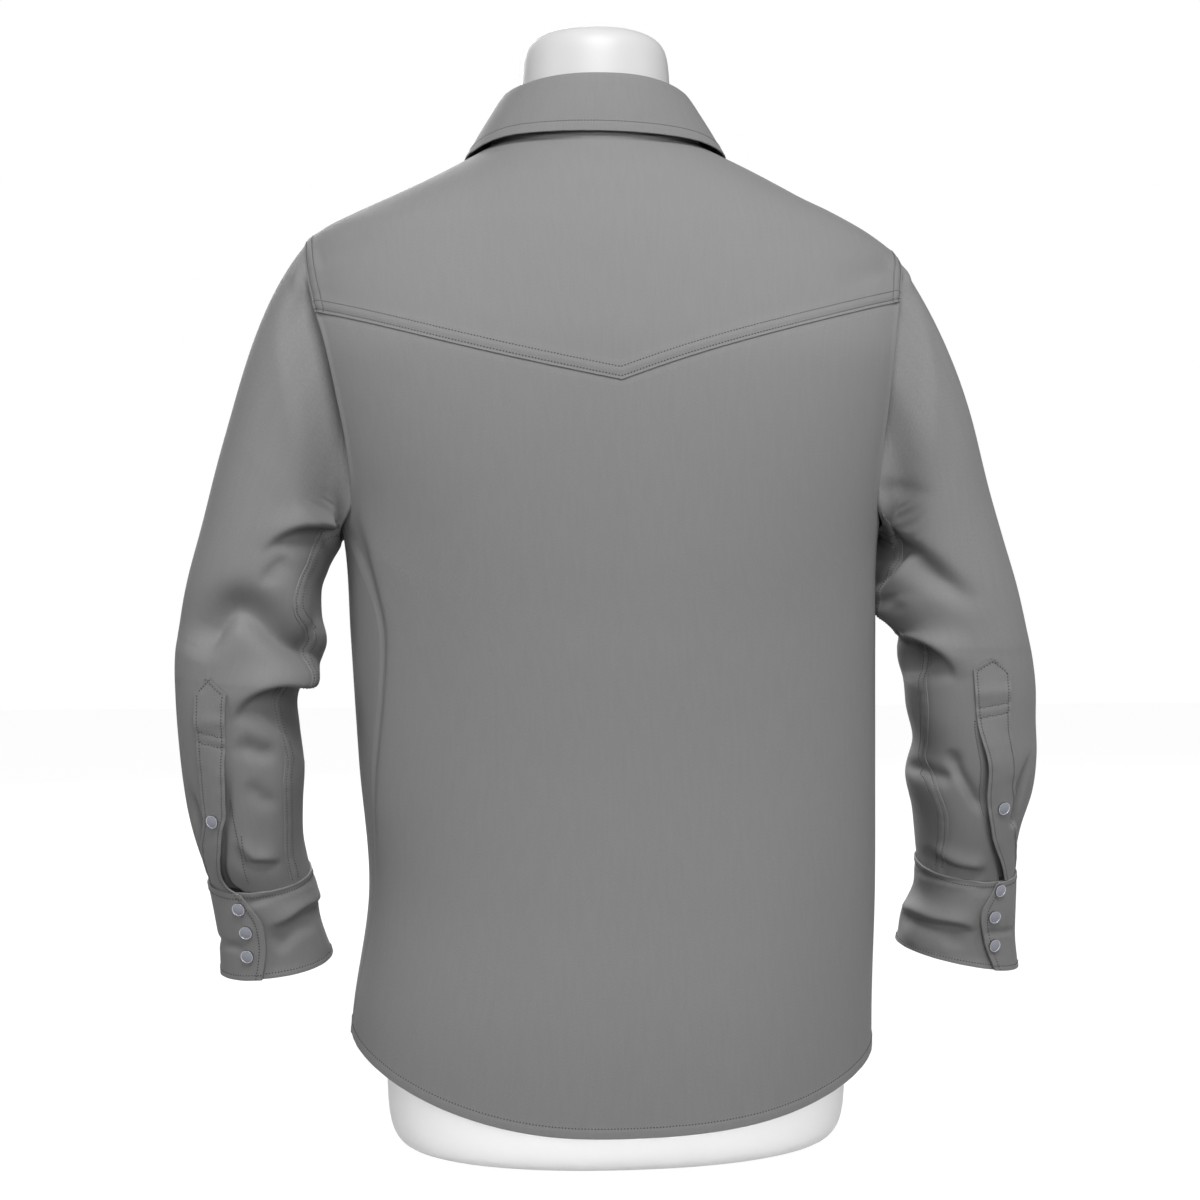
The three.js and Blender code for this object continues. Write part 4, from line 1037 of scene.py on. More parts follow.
def front_grid(hand):
    """A front from the side seam to the lap's far edge, with its side and hem edges."""
    low, arm, rise = panel_rows("front")
    us = shares_for(LENGTHS["front_width"], end=False)
    neck_turns = np.linspace(FRONT_SEAM_NECK, neck_angle_at(FRONT_LAP), LINE)
    neck = neck_point(neck_turns if hand > 0 else 180 - neck_turns)
    top = np.concatenate([shoulder_seam(hand), neck[1:]])
    start = SEAM_TURN[side_name(hand)] - (0 if hand > 0 else 2 * math.pi)
    hem = hem_point(np.linspace(start, hem_turn_at(hand * FRONT_LAP), LINE))
    inner = front_line(hand * FRONT_LAP, rise)
    first = edge_of(hand, "front", low, arm)
    bottom = line_at(hem, us)
    grid = body_patch(bottom, line_at(top, us), first, inner, us, rise, len(low) - 1, EDGE_FADE["front"])
    offsets = np.linspace(hand * FRONT_LAP, -hand * FRONT_LAP, LAP_COLUMNS)[1:]
    grid = np.concatenate([grid, np.stack([front_line(offset, rise) for offset in offsets], 1)], 1)
    return grid, {"first": first, "bottom": hem}


def front_waves(x, z, hand):
    """Broad soft waves of the hanging fronts."""
    return 1.4 * np.sin((x + 30 * hand) / 38) * ease((520 - z) / 400)


SEWN_FROM = 515  # the armhole's rows start at this height, above the underarm


def make_front(hand, cloth, rows):
    name = side_name(hand)
    grid, edges = front_grid(hand)
    normals = body_normals(grid)
    found = {side: distances(grid, edge) for side, edge in edges.items()}
    x, z = grid[..., 0], grid[..., 2]
    inside = ease(found["first"][0] / 30)
    relief = front_waves(x, z, hand) * inside
    relief += sewn_edge(*found["bottom"], 4.4 * hand, HEM_ROW)
    from_seam, seam_along = found["first"]
    armhole = ease((z - 500) / 20)
    relief += felled_seam(from_seam, seam_along, 0.9 * hand, step=-0.5, ridge=0.1) * armhole
    relief -= 0.5 * (1 - ease(from_seam / 3)) * ease((440 - z) / 40)
    if hand < 0:
        from_middle = np.abs(x - grid[:, -(LAP_COLUMNS + 1) // 2, 0][:, None])
        relief -= (2 * CLOTH + LAP) * (1 - ease((from_middle - FRONT_LAP) / 14))
    grid, normals = raised(grid, normals, relief)
    rows.append(sewn_line(grid, normals, found["bottom"][0], HEM_ROW, "bottom"))
    for inset in DOUBLE_ROW:
        line, out = sewn_line(grid, normals, from_seam, inset, "first")
        high = line[:, 2] > SEWN_FROM
        rows.append((line[high], out[high]))
    return cloth_wall(f"front_{name}_cloth", grid, normals, cloth)


BAND_ROW = 6.5  # the sewn rows in from the front band's two edges
BAND_COLUMNS = 29


def make_front_band(cloth, rows):
    shares = shares_for(LENGTHS["front_height"])
    offsets = np.linspace(FRONT_LAP, -FRONT_LAP, BAND_COLUMNS)
    grid = np.stack([front_line(offset, shares) for offset in offsets], 1)
    normals = body_normals(grid)
    from_edge = FRONT_LAP - np.abs(np.tile(offsets, (len(shares), 1)))
    along = shares[:, None] * LENGTHS["front_height"] + 0 * from_edge
    relief = LAP + CLOTH + front_waves(grid[..., 0], grid[..., 2], 1)
    relief = relief + sewn_edge(from_edge, along, 0.7, BAND_ROW)
    grid, normals = raised(grid, normals, relief)
    for side in ("first", "last"):
        rows.append(sewn_line(grid, normals, from_edge, BAND_ROW, side))
    return cloth_wall("front_band_cloth", grid, normals, cloth)


# ------------------------------------------------------------------ collar
COLLAR_START = neck_angle_at(FRONT_LAP)
COLLAR_END = 360 + neck_angle_at(-FRONT_LAP)


def stand_ring(share, angle):
    turn = np.radians(angle)
    foot = neck_point(angle)
    back = np.maximum(0, np.sin(turn))
    front = np.maximum(0, -np.sin(turn))
    neck_back = neck_point(np.array(90.0))[2]
    rise = mix(STAND["side_rise"], STAND["front_rise"], front)
    rise = rise + (STAND["back_top"] - neck_back - STAND["side_rise"]) * back**2
    top = np.stack(
        [
            NECK["side"] + STAND["half"] * np.cos(turn),
            STAND["mid"] + STAND["depth"] * np.sin(turn),
            foot[..., 2] + rise,
        ],
        -1,
    )
    return mix(foot, top, np.asarray(share)[..., None])


def turned_along(normals, way):
    """Each normal, on the side that the way given for it points to."""
    return normals * np.where((normals * way).sum(-1, keepdims=True) < 0, -1, 1)


STAND_STEPS = {"lap": 12, "neck": 190, "height": 20}
STAND_HEIGHT = 33
STAND_RADIUS, LEAF_RADIUS = 75, 100  # roughly; they turn angles into lengths along the cloth
STAND_ROW = 3  # the sewn row up from the neck seam


def make_stand(cloth, rows):
    lap, neck = STAND_STEPS["lap"], STAND_STEPS["neck"]
    angles = np.concatenate(
        [
            np.linspace(neck_angle_at(-FRONT_LAP), COLLAR_START, lap)[:-1],
            np.linspace(COLLAR_START, COLLAR_END, neck),
            np.linspace(COLLAR_END, 360 + COLLAR_START, lap)[1:],
        ]
    )
    shares = np.linspace(0, 1, STAND_STEPS["height"])
    grid = stand_ring(shares[:, None] + 0 * angles, np.tile(angles, (len(shares), 1)))
    away = grid - np.array([NECK["side"], NECK["mid"], 0])
    away[..., 2] = 0
    normals = turned_along(grid_normals(grid), away)
    sunk = (CLOTH + LAP) * ease((angles - (COLLAR_END - 30)) / 25)
    height = STAND_HEIGHT * shares[:, None] + 0 * angles
    along = np.tile(np.radians(angles) * STAND_RADIUS, (len(shares), 1))
    binding = NECK_BINDING * (1 - ease((height - 5) / 9))
    relief = sewn_edge(height, along, 1.1, STAND_ROW) - sunk + CLOTH * 0.5 + binding
    grid = grid + normals * relief[..., None]
    rows.append(sewn_line(grid, normals, height, STAND_ROW, "bottom"))
    return cloth_wall("collar_stand_cloth", grid, normals, cloth)


# How the leaf rolls over the stand: out from the stand's top and up from it.
ROLL = ((-2.2, 0.7), (-1.9, 3.4), (0.9, 6.2), (4.6, 4.4))
FALL = (0.3, 0.65, 1)
LEAF_ROW = 8  # the sewn row in from the leaf's edge
LEAF_COLUMNS, LEAF_STEP = 220, 1.8
LEAF_BOW = 5  # how far the leaf bows out between its roll and its edge


def make_leaf(cloth, rows):
    angles = np.linspace(COLLAR_START, COLLAR_END, LEAF_COLUMNS)
    turn = np.radians(angles)
    edge_turn = np.radians(mix(*LEAF_TURNS, (angles - COLLAR_START) / (COLLAR_END - COLLAR_START)))
    top = stand_ring(np.ones_like(angles), angles)
    away = unit(np.stack([np.cos(turn) * STAND["depth"], np.sin(turn) * STAND["half"], 0 * turn], -1))
    lines = [top + away * out + np.array([0, 0, up]) for out, up in ROLL]
    depth = np.where(np.sin(edge_turn) > 0, LEAF["back"], LEAF["front"])
    x = NECK["side"] + LEAF["half"] * np.cos(edge_turn)
    edge = top_point(x, LEAF["mid"] + depth * np.sin(edge_turn))
    at_back = ease((np.sin(edge_turn) - 0.3) / 0.5)
    low = edge[:, 2] + LEAF["rest"]
    edge[:, 2] = mix(low, np.maximum(low, LEAF["back_edge"]), at_back)
    start = lines[-1]
    for f in FALL:
        lines.append(mix(start, edge, f) + away * LEAF_BOW * f * (1 - f))
    lines = np.stack(lines)
    middle = LEAF_COLUMNS // 2
    knots = arc_lengths(lines[:, middle])
    heights = shares_for(knots[-1], LEAF_STEP, start=False) * knots[-1]
    columns = range(LEAF_COLUMNS)
    grid = np.stack([[spline(knots, lines[:, j, k], heights) for j in columns] for k in range(3)], -1)
    grid = np.swapaxes(grid, 0, 1)
    normals = grid_normals(grid)
    normals *= np.sign(normals[-1, middle, 1])
    fallen_from = len(grid) // 3
    edges = (grid[-1], grid[:, 0][fallen_from:], grid[:, -1][fallen_from:])
    far = np.minimum.reduce([distances(grid, each)[0] for each in edges])
    along = np.tile(turn * LEAF_RADIUS, (len(heights), 1))
    fallen = ease((heights - 8) / 10)[:, None]
    relief = sewn_edge(far, along, 2.2, LEAF_ROW) * fallen
    grid = grid + normals * relief[..., None]
    rows.append(sewn_line(grid, normals, far, LEAF_ROW, "top"))
    return cloth_wall("collar_leaf_cloth", grid, normals, cloth)


# ------------------------------------------------------------------ sleeves
def ring_point(hand, rings, row, angle):
    """A point of a sleeve's or a cuff's rings, by its row and the angle round them."""
    read = {key: column(rings, key, row) for key in RING.split()[1:]}
    turn = np.radians(angle + read["turn"])
    outer = np.stack([hand * read["out_x"], read["y"], read["out_z"]], -1)
    inner = np.stack([hand * read["in_x"], read["y"], read["in_z"]], -1)
    lean = np.radians(read["lean"])
    along = np.stack([0 * lean, np.cos(lean), -np.sin(lean)], -1) * read["depth"][..., None]
    c = signed_power(np.cos(turn), 2 / SLEEVE_POWER)[..., None]
    s = signed_power(np.sin(turn), 2 / SLEEVE_POWER)[..., None]
    return (outer + inner) / 2 + (outer - inner) / 2 * c + along * s


# How the cap leaves the armhole: outwards at its foot, where CAP_LEAVE has the top;
# to the back or the front; down at its foot and top; and how steeply at the least.
CAP_OUT, CAP_ASIDE, CAP_DOWN, CAP_CLEAR = 0.45, 0.25, (-0.9, -0.75), 0.75
CAP_MIDDLE = 84  # the sleeve's angle that meets the armhole at CAP_TURN


def sleeve_point(hand, row, angle):
    """A point of the sleeve: rows 0 to 1 are the cap, and from 1 on the rings."""
    name = side_name(hand)
    rings, seams = SLEEVES[name], SEAM_ANGLES[name]
    row, angle = np.broadcast_arrays(np.asarray(row, float), np.asarray(angle, float))
    low = ring_point(hand, rings, np.maximum(row - 1, 0), angle)
    around, beyond = seams["front"], (seams["underarm"], 360 + seams["front"])
    arm_angle = np.interp(angle, [around, CAP_MIDDLE, *beyond], [around, CAP_TURN[name], *beyond])
    start = armhole_point(hand, arm_angle)
    first = ring_point(hand, rings, np.zeros_like(row), angle)
    second = ring_point(hand, rings, np.ones_like(row), angle)
    length = np.linalg.norm(first - start, axis=-1, keepdims=True)
    turn = np.radians(arm_angle)
    up = ((1 + np.cos(turn)) / 2)[..., None]
    aside = CAP_ASIDE * np.sin(turn)[..., None]
    leave = unit(np.concatenate([hand * mix(CAP_OUT, CAP_LEAVE[name], up), aside, mix(*CAP_DOWN, up)], -1))
    out = body_normals(start)
    short = np.maximum(0, CAP_CLEAR * (1 - up) - (leave * out).sum(-1, keepdims=True))
    leave = unit(leave + out * short)
    arrive = unit(second - first)
    t = np.clip(row, 0, 1)[..., None]
    cap = mix(start, first, t * t * (3 - 2 * t))
    cap = cap + leave * length * t * (1 - t) ** 2 - arrive * length * t * t * (1 - t)
    return np.where((row < 1)[..., None], cap, low)


# Folds on the back of the sleeves: kind, a line of distance out and height, how
# deep, how wide on its left and right, and how soon it dies away at its two ends.
SLEEVE_FOLDS = {
    "left": [
        ("step", [(221, 482), (241, 482), (253, 478), (266, 470), (277, 460)], 9.1, 13, 13, (0.1, 0.75)),
        ("trough", [(252, 459), (263, 452), (270, 444), (272, 434)], 2.5, 5, 9, (0.3, 0.4)),
        ("trough", [(229, 386), (240, 386), (252, 391), (264, 400), (275, 410),
                    (286, 417), (297, 418), (309, 409), (320, 392), (325, 380)],
         15.5, 16, 10, (0.08, 0.22)),
        ("trough", [(226, 448), (231, 430), (232, 412), (233, 398)], 4.5, 6, 6, (0.3, 0.4)),
        ("step", [(240, 362), (250, 361), (262, 362), (273, 359), (284, 352), (293, 341), (298, 333)],
         11.0, 16, 34, (0, 0.6)),
        ("trough", [(262, 311), (276, 311), (290, 317), (297, 322)], 3.6, 8, 7, (0.3, 0.4)),
        ("trough", [(262, 268), (276, 276), (288, 292)], 2.5, 6, 7, (0.4, 0.4)),
        ("step", [(262, 224), (276, 226), (286, 228), (298, 246)], 4.2, 9, 9, (0.3, 0.5)),
        ("trough", [(322, 236), (325, 250), (330, 268), (334, 290)], 7.7, 3.4, 3.0, (0.1, 0.5)),
    ],
    "right": [
        ("trough", [(194, 514), (220, 513), (245, 505)], 2.2, 6, 8, (0, 0.5)),
        ("trough", [(188, 485), (203, 479), (217, 468), (231, 456), (248, 442), (265, 430), (285, 422)],
         12.5, 8, 11, (0.06, 0.55)),
        ("step", [(219, 468), (215, 449), (210, 437), (209, 431), (212, 422), (217, 411)],
         6.3, 12, 20, (0.2, 0.2)),
        ("trough", [(213, 434), (219, 425), (228, 418)], 3.1, 4, 4, (0.3, 0.4)),
        ("step", [(214, 411), (220, 407), (230, 399), (241, 392), (251, 383), (257, 373), (261, 361)],
         12.0, 15, 38, (0, 0.5)),
        ("trough", [(236, 296), (245, 290), (255, 286), (266, 282)], 4.5, 6, 6, (0.2, 0.4)),
        ("trough", [(259, 311), (265, 292), (274, 277), (283, 263), (290, 254)], 4.8, 5, 3.4, (0.2, 0.3)),
        ("step", [(252, 230), (262, 219), (275, 213), (290, 211), (298, 212)], 4.5, 9, 9, (0.3, 0.3)),
        ("trough", [(314, 244), (316, 262), (321, 286), (327, 309)], 7.7, 3.4, 3.0, (0.1, 0.5)),
    ],
}
CUFF_FOLDS = {
    "left": [
        ("step", [(234, 187), (248, 184), (262, 176), (279, 171)], 3.8, 10, 14, (0, 0.6)),
        ("trough", [(236, 170), (250, 168), (262, 160), (270, 150)], 2.0, 6, 5, (0.2, 0.4)),
        ("trough", [(240, 205), (263, 199), (292, 191)], 1.2, 3, 3, (0.1, 0.1)),
        ("trough", [(288, 155), (300, 157), (313, 158)], 2.1, 4, 4, (0.4, 0)),
        ("trough", [(258, 150), (266, 160), (272, 172)], 1.6, 6, 6, (0.4, 0.4)),
    ],
    "right": [
        ("step", [(230, 172), (243, 169), (258, 166), (278, 164), (294, 157)], 5.5, 11, 12, (0, 0.4)),
        ("trough", [(243, 205), (262, 201), (280, 200), (294, 196)], 1.7, 3.5, 3.5, (0.1, 0.2)),
        ("trough", [(296, 158), (308, 158), (322, 157)], 1.4, 3, 3, (0.2, 0)),
        ("trough", [(262, 152), (275, 150), (288, 146)], 1.3, 6, 6, (0.4, 0.4)),
    ],
}


def fold_relief(folds, hand, p, normals):
    """The folds on the cloth's back, fading where it turns away."""
    flat = np.stack([hand * p[..., 0], p[..., 2]], -1)
    facing = ease((normals[..., 1] + 0.35) / 0.6)
    return facing * sum(fold(flat, *each) for each in folds)


def front_relief(p, normals):
    """Softer folds on the front of a sleeve, gathered at the elbow's inner side."""
    front = ease((0.1 - normals[..., 1]) / 0.5)
    x, z = np.abs(p[..., 0]), p[..., 2]
    gathered = 2.6 * np.sin(z / 9.5 + x / 21) * hill(z - 372, 48) * hill(x - 250, 45)
    wide = 1.2 * np.sin(z / 23 - x / 16) * hill(z - 330, 130)
    return front * (gathered + wide)


# The hollow behind the back's edge. Each pair is low down, then at the shoulder.
HOLLOW_DEPTH, HOLLOW_WALL, HOLLOW_WIDTH = (18, 10), (2.5, 5), (38, 34)
GATHERS = {"height": 0.5, "length": 5.2, "slant": 0.6}
SHOULDER_ROLL = 2.4


def armhole_hollow(hand, grid, normals, angles, levels):
    """Where the sleeve comes out from under the back's edge: a hollow going in behind
    the edge, with fine gathers along the seam and a small roll at the shoulder."""
    far, along = distances(grid, armhole_point(hand, np.linspace(0, 360, 400)))
    z = grid[..., 2]
    behind = ease((angles - 36) / 24) * ease((156 - angles) / 36) * ease((3 - levels) / 1.6)
    high = ease((z - 600) / 70)
    rising = 1 - ease((far - 4) / mix(*HOLLOW_WIDTH, high))
    depth = mix(*HOLLOW_DEPTH, high) * ease(far / mix(*HOLLOW_WALL, high)) * rising * behind
    inwards = depth[..., None] * unit(np.array([-0.3 * hand, -1, 0]))
    gathered = ease(far / 3) * ease((46 - far) / 30) * ease((580 - z) / 40) * behind
    slanting = along + GATHERS["slant"] * far
    gathers = GATHERS["height"] * np.sin(2 * math.pi * slanting / GATHERS["length"]) * gathered
    roll = SHOULDER_ROLL * hill(far - 8, 6) * ease((angles - 22) / 16) * ease((56 - angles) / 12)
    return inwards + normals * (gathers + roll)[..., None]


# The slit beside the placket: the level where it starts, and the rows sewn along the
# cloth beneath it, as levels and angles.
SLIT_TOP = {"left": 8.3, "right": 7.9}
UNDERLAP_ROWS = {
    "left": [((9.2, 86), (9.9, 90.5), (10.6, 95), (11.75, 97.5)), ((10.1, 95.5), (11, 99.5))],
    "right": [((7.8, 87), (8.75, 91.5), (9.8, 92), (10.5, 91))],
}


def row_on_sleeve(places, levels, angles, grid, normals):
    """A sewn row through places given by level and angle."""
    up, turns = np.transpose(places)
    at = np.nonzero((levels >= up[0]) & (levels <= up[-1]))[0]
    turn = np.interp(levels[at], up, turns)
    k = np.array([np.searchsorted(angles[i], a) for i, a in zip(at, turn)])
    t = ((turn - angles[at, k - 1]) / (angles[at, k] - angles[at, k - 1]))[:, None]
    return mix(grid[at, k - 1], grid[at, k], t), unit(mix(normals[at, k - 1], normals[at, k], t))


def tube_normals(grid, middle):
    """A closed sleeve's normals, pointing away from its middle line."""
    normals = grid_normals(grid, True)
    return normals * np.sign(((grid - middle) * normals).sum(-1)[len(grid) // 2 :].mean())


CAP_ROWS, ARM_ROWS = 56, 186
# Columns round the arm: up to the felled seam, in the band beside it and after it.
COLUMNS_BEFORE, COLUMNS_BESIDE, COLUMNS_AFTER = 82, 15, 48
SEAM_BAND_TURN = 17  # degrees round the arm
SEWN_COLUMNS = 26  # the seam's rows lie within these
SLIT_DEPTH = 3.6


def make_sleeve(hand, cloth, rows):
    name = side_name(hand)
    front = SEAM_ANGLES[name]["front"]
    levels = np.concatenate([np.linspace(0, 1, CAP_ROWS)[:-1], np.linspace(1, LAST_RING + 1, ARM_ROWS)])
    path = column(SEAM_PATH[name], "turn", levels)[:, None]
    before = np.linspace(0, 1, COLUMNS_BEFORE)[None, :-1]
    band = np.concatenate([[0, 0.4], np.linspace(1.4, SEAM_BAND_TURN, COLUMNS_BESIDE)])[None]
    after = mix(path + SEAM_BAND_TURN, 360 + front, np.linspace(0, 1, COLUMNS_AFTER)[None, 1:-1])
    angles = np.concatenate([mix(front, path, before), path + band, after], 1)
    seam = before.shape[1]
    grid = sleeve_point(hand, levels[:, None], angles)
    middle = grid.mean(axis=1, keepdims=True)
    normals = tube_normals(grid, middle)
    relief = fold_relief(SLEEVE_FOLDS[name], hand, grid, normals) + front_relief(grid, normals)
    grid = grid + normals * relief[..., None]
    grid = grid + armhole_hollow(hand, grid, normals, angles, levels[:, None])
    outer, inner = (column(PLACKETS[name], side, levels)[:, None] for side in ("outer", "inner"))
    slit = ease((angles - outer - 10) / 12) * (1 - ease((angles - inner + 1) / 8))
    slit = SLIT_DEPTH * slit * ease((levels[:, None] - SLIT_TOP[name]) / 1.2)
    grid -= normals * slit[..., None]
    normals = tube_normals(grid, middle)
    far, along = distances(grid, grid[:, seam].copy())
    past = (angles > path + 0.2) & (angles < path + 150)
    felled = felled_seam(far, along, 1.5 * hand, step=0.5, ridge=0.1)
    relief = np.where(past, felled, 0) - 0.3 * hill(far, 1.6)
    relief *= ease(levels[:, None] / 0.7)
    from_end, around = distances(grid, grid[-1].copy())
    relief += 0.5 * waves(around, 0.3, 16) * hill(from_end, 14)
    grid = grid + normals * relief[..., None]
    normals = tube_normals(grid, middle)
    at = np.arange(8, len(levels) - 2)
    for inset in DOUBLE_ROW:
        k = np.argmax(far[:, seam : seam + SEWN_COLUMNS] > inset, axis=1)
        rows.append((grid[at, seam + k[at]], normals[at, seam + k[at]]))
    for places in UNDERLAP_ROWS[name]:
        rows.append(row_on_sleeve(places, levels, angles, grid, normals))
    return cloth_wall(f"sleeve_{name}_cloth", grid, normals, cloth, closed=True)


PLACKET_ROWS, PLACKET_COLUMNS = 110, 21
TIP_CORNER = 10  # rows of the grid in the placket's pointed end
TIP_WIDTH = 0.12  # how blunt the point is
PLACKET_ROW = 2.4  # the sewn row in from its edge
PLACKET_FOLDS = 240  # the sleeve's folds that start this far out run across it
STANDING = 1.8  # how far its inner edge stands off at the slit
BARTACK_FOOT = {"left": 318, "right": 337}  # the height of the lower bartack
BARTACK_GAP, BARTACK_SLANT, BARTACK_DEPTH = 8, 5, 0.5


def above_bartack(name, number, z, shares):
    """Height above a bartack, which slants across the placket."""
    return z - BARTACK_FOOT[name] - BARTACK_GAP * number - BARTACK_SLANT * (0.5 - shares)


def make_placket(hand, cloth, rows):
    name = side_name(hand)
    edges = PLACKETS[name]
    tip_level, tip_turn = PLACKET_TIPS[name]
    shares = np.concatenate([[0, 0.035], np.linspace(0.09, 0.91, PLACKET_COLUMNS), [0.965, 1]])
    levels = np.linspace(edges["up"][0] + 0.02, LAST_RING + 0.98, PLACKET_ROWS)[:, None]
    outer, inner = column(edges, "outer", levels), column(edges, "inner", levels)
    angles = mix(outer, inner, shares)
    rise = np.linspace(0, 1, TIP_CORNER)[:-1, None]
    along = np.abs(2 * shares - 1)
    tip_angles = mix(tip_turn + (angles[0] - tip_turn) * TIP_WIDTH, angles[0], rise)
    blunt = tip_level + TIP_WIDTH * along * (levels[0] - tip_level)
    tip_levels = mix(blunt, levels[0] + 0 * shares, rise)
    angles = np.concatenate([tip_angles, angles])
    levels = np.concatenate([tip_levels, levels + 0 * shares])
    grid = sleeve_point(hand, levels, angles)
    normals = grid_normals(grid)
    normals *= np.sign(normals[len(levels) // 2, 11, 1])
    folds = [each for each in SLEEVE_FOLDS[name] if each[1][0][1] > PLACKET_FOLDS]
    relief = fold_relief(folds, hand, grid, normals)
    line = np.concatenate([grid[::-1, 0], grid[0], grid[:, -1]])
    from_edge, around = distances(grid, line)
    z = grid[..., 2]
    standing = ease((BARTACK_FOOT[name] - z) / 25) * ease(shares) * STANDING
    relief = relief + CLOTH * 1.55 + sewn_edge(from_edge, around, 0.8 * hand, PLACKET_ROW) + standing
    for number in (0, 1):
        relief -= BARTACK_DEPTH * hill(above_bartack(name, number, z, shares), 1.4)
    relief += 1.1 * hill(z - BARTACK_FOOT[name] - 18, 6)
    grid = grid + normals * relief[..., None]
    normals = grid_normals(grid)
    normals *= np.sign(normals[len(levels) // 2, 11, 1])
    straight, tip = slice(TIP_CORNER, None), slice(0, TIP_CORNER + 8)
    for part, side in ((straight, "first"), (straight, "last"), (tip, "bottom")):
        rows.append(sewn_line(grid[part], normals[part], from_edge[part], PLACKET_ROW, side))
    j = np.arange(2, len(shares) - 2)
    for number in (0, 1):
        i = np.argmin(np.abs(above_bartack(name, number, z, shares)), axis=0)[j]
        rows.append((grid[i, j], normals[i, j]))
    return cloth_wall(f"sleeve_placket_{name}_cloth", grid, normals, cloth)


CUFF_ROW = 4.6
CUFF_ROWS, CUFF_COLUMNS = 56, 240
CUFF_LOOSE = 0.9  # how far the cuff stands off its solid
CUFF_THICK = 1.6  # its cloth is doubled and pressed


def make_cuff(hand, cloth, rows):
    name = side_name(hand)
    width, soft = CUFF_LAP["width"], CUFF_LAP["ease"]
    levels = np.linspace(0, 3, CUFF_ROWS)
    edge = column(CUFF_EDGES[name], "turn", levels)[:, None]
    turned = np.linspace(0, 360 + width, CUFF_COLUMNS)[None]
    angles = edge - turned
    grid = ring_point(hand, CUFFS[name], levels[:, None] + 0 * angles, angles)
    middle = grid.mean(axis=1, keepdims=True)
    normals = turned_along(grid_normals(grid), grid - middle)
    lift = (CLOTH * 1.8 + LAP) * ease((width + soft - turned) / soft)
    tall = np.linalg.norm(np.diff(grid[:, CUFF_COLUMNS // 4], axis=0), axis=1).sum()
    height = tall * levels[:, None] / 3 + 0 * angles
    total = height.max()
    across = arc_lengths(grid[20])[None] + 0 * angles
    from_edge = np.minimum.reduce([height, total - height, across])
    folds = fold_relief(CUFF_FOLDS[name], hand, grid, normals)
    crumple = 0.8 * np.sin(across / 13 + levels[:, None] * 1.7)
    crumple = crumple * ease((height - 6) / 10) * ease((total - height) / 12)
    crumple = crumple * ease((across - 60) / 40)
    relief = lift + CUFF_LOOSE + sewn_edge(from_edge, across, 1.7 * hand, CUFF_ROW) + folds + crumple
    grid = grid + normals * relief[..., None]
    normals = turned_along(grid_normals(grid), grid - middle)
    for far, side in ((height, "bottom"), (total - height, "top"), (across, "first")):
        rows.append(sewn_line(grid, normals, far, CUFF_ROW, side))
    return cloth_wall(f"cuff_{name}_cloth", grid, normals, cloth, thickness=CLOTH * CUFF_THICK)


# ------------------------------------------------------------------ snaps and the form
SNAP = {"radius": 5.2, "rim": 0.6, "height": 2.0, "bevel": 0.28}
SNAP_SINK = (0.15, -0.35)  # the groove inside the ring: across and down
SNAP_DOME = (0.35, 0.2)  # and the cap's shoulder: across and up
SNAP_CAP = {"above": 1.6, "within": 4.3}  # faces here are enamel
SNAP_STAND_OFF = 0.1


def select_only(made):
    bpy.ops.object.select_all(action="DESELECT")
    made.select_set(True)
    bpy.context.view_layer.objects.active = made


def make_snap_model(ring, cap):
    """One snap: a domed cap of enamel inside a bright turned ring."""
    bpy.ops.object.select_all(action="DESELECT")
    height = SNAP["height"] * MM
    bpy.ops.mesh.primitive_cylinder_add(
        vertices=40, radius=SNAP["radius"] * MM, depth=height, location=(0, 0, height / 2)
    )
    snap = bpy.context.object
    bpy.ops.object.transform_apply(location=True, rotation=False, scale=False)
    snap.data.materials.append(ring)
    snap.data.materials.append(cap)
    bpy.ops.object.mode_set(mode="EDIT")
    bpy.ops.mesh.select_all(action="DESELECT")
    bpy.ops.object.mode_set(mode="OBJECT")
    for face in snap.data.polygons:
        face.select = face.normal.z > 0.9
    bpy.ops.object.mode_set(mode="EDIT")
    for across, up in ((SNAP["rim"], 0), SNAP_SINK, SNAP_DOME):
        bpy.ops.mesh.inset(thickness=across * MM, depth=up * MM)
    bpy.ops.object.mode_set(mode="OBJECT")
    for face in snap.data.polygons:
        high = face.center.z > SNAP_CAP["above"] * MM
        inside = face.center.xy.length < SNAP_CAP["within"] * MM
        face.material_index = int(face.select or (high and inside))
    bevel = snap.modifiers.new("rounded", "BEVEL")
    bevel.width = SNAP["bevel"] * MM
    bevel.segments = 3
    bevel.limit_method = "ANGLE"
    bpy.ops.object.modifier_apply(modifier="rounded")
    bpy.ops.object.shade_smooth_by_angle(angle=math.radians(35))
    return snap


# Small moves of the sleeves' snaps, along X and up, onto the middle of the true
# placket and flap, which are finer here than in the frame.
SNAP_MOVES = {
    "sleeve_snap_left": (-3, 2.5),
    "cuff_snap_left_1": (-6.5, 2),
    "cuff_snap_left_2": (-3.5, 3),
    "cuff_snap_left_3": (2, 4),
    "sleeve_snap_right": (7, 3),
    "cuff_snap_right_1": (5.5, 2),
    "cuff_snap_right_2": (4.5, 1.5),
    "cuff_snap_right_3": (1, 1.5),
}


RAY_START, RAY_SPREAD = 30, 4  # where a ray starts, out from the cloth, and its neighbours
CROSS = ((1, 0, 0), (0, 0, 1), (-1, 0, 0), (0, 0, -1))


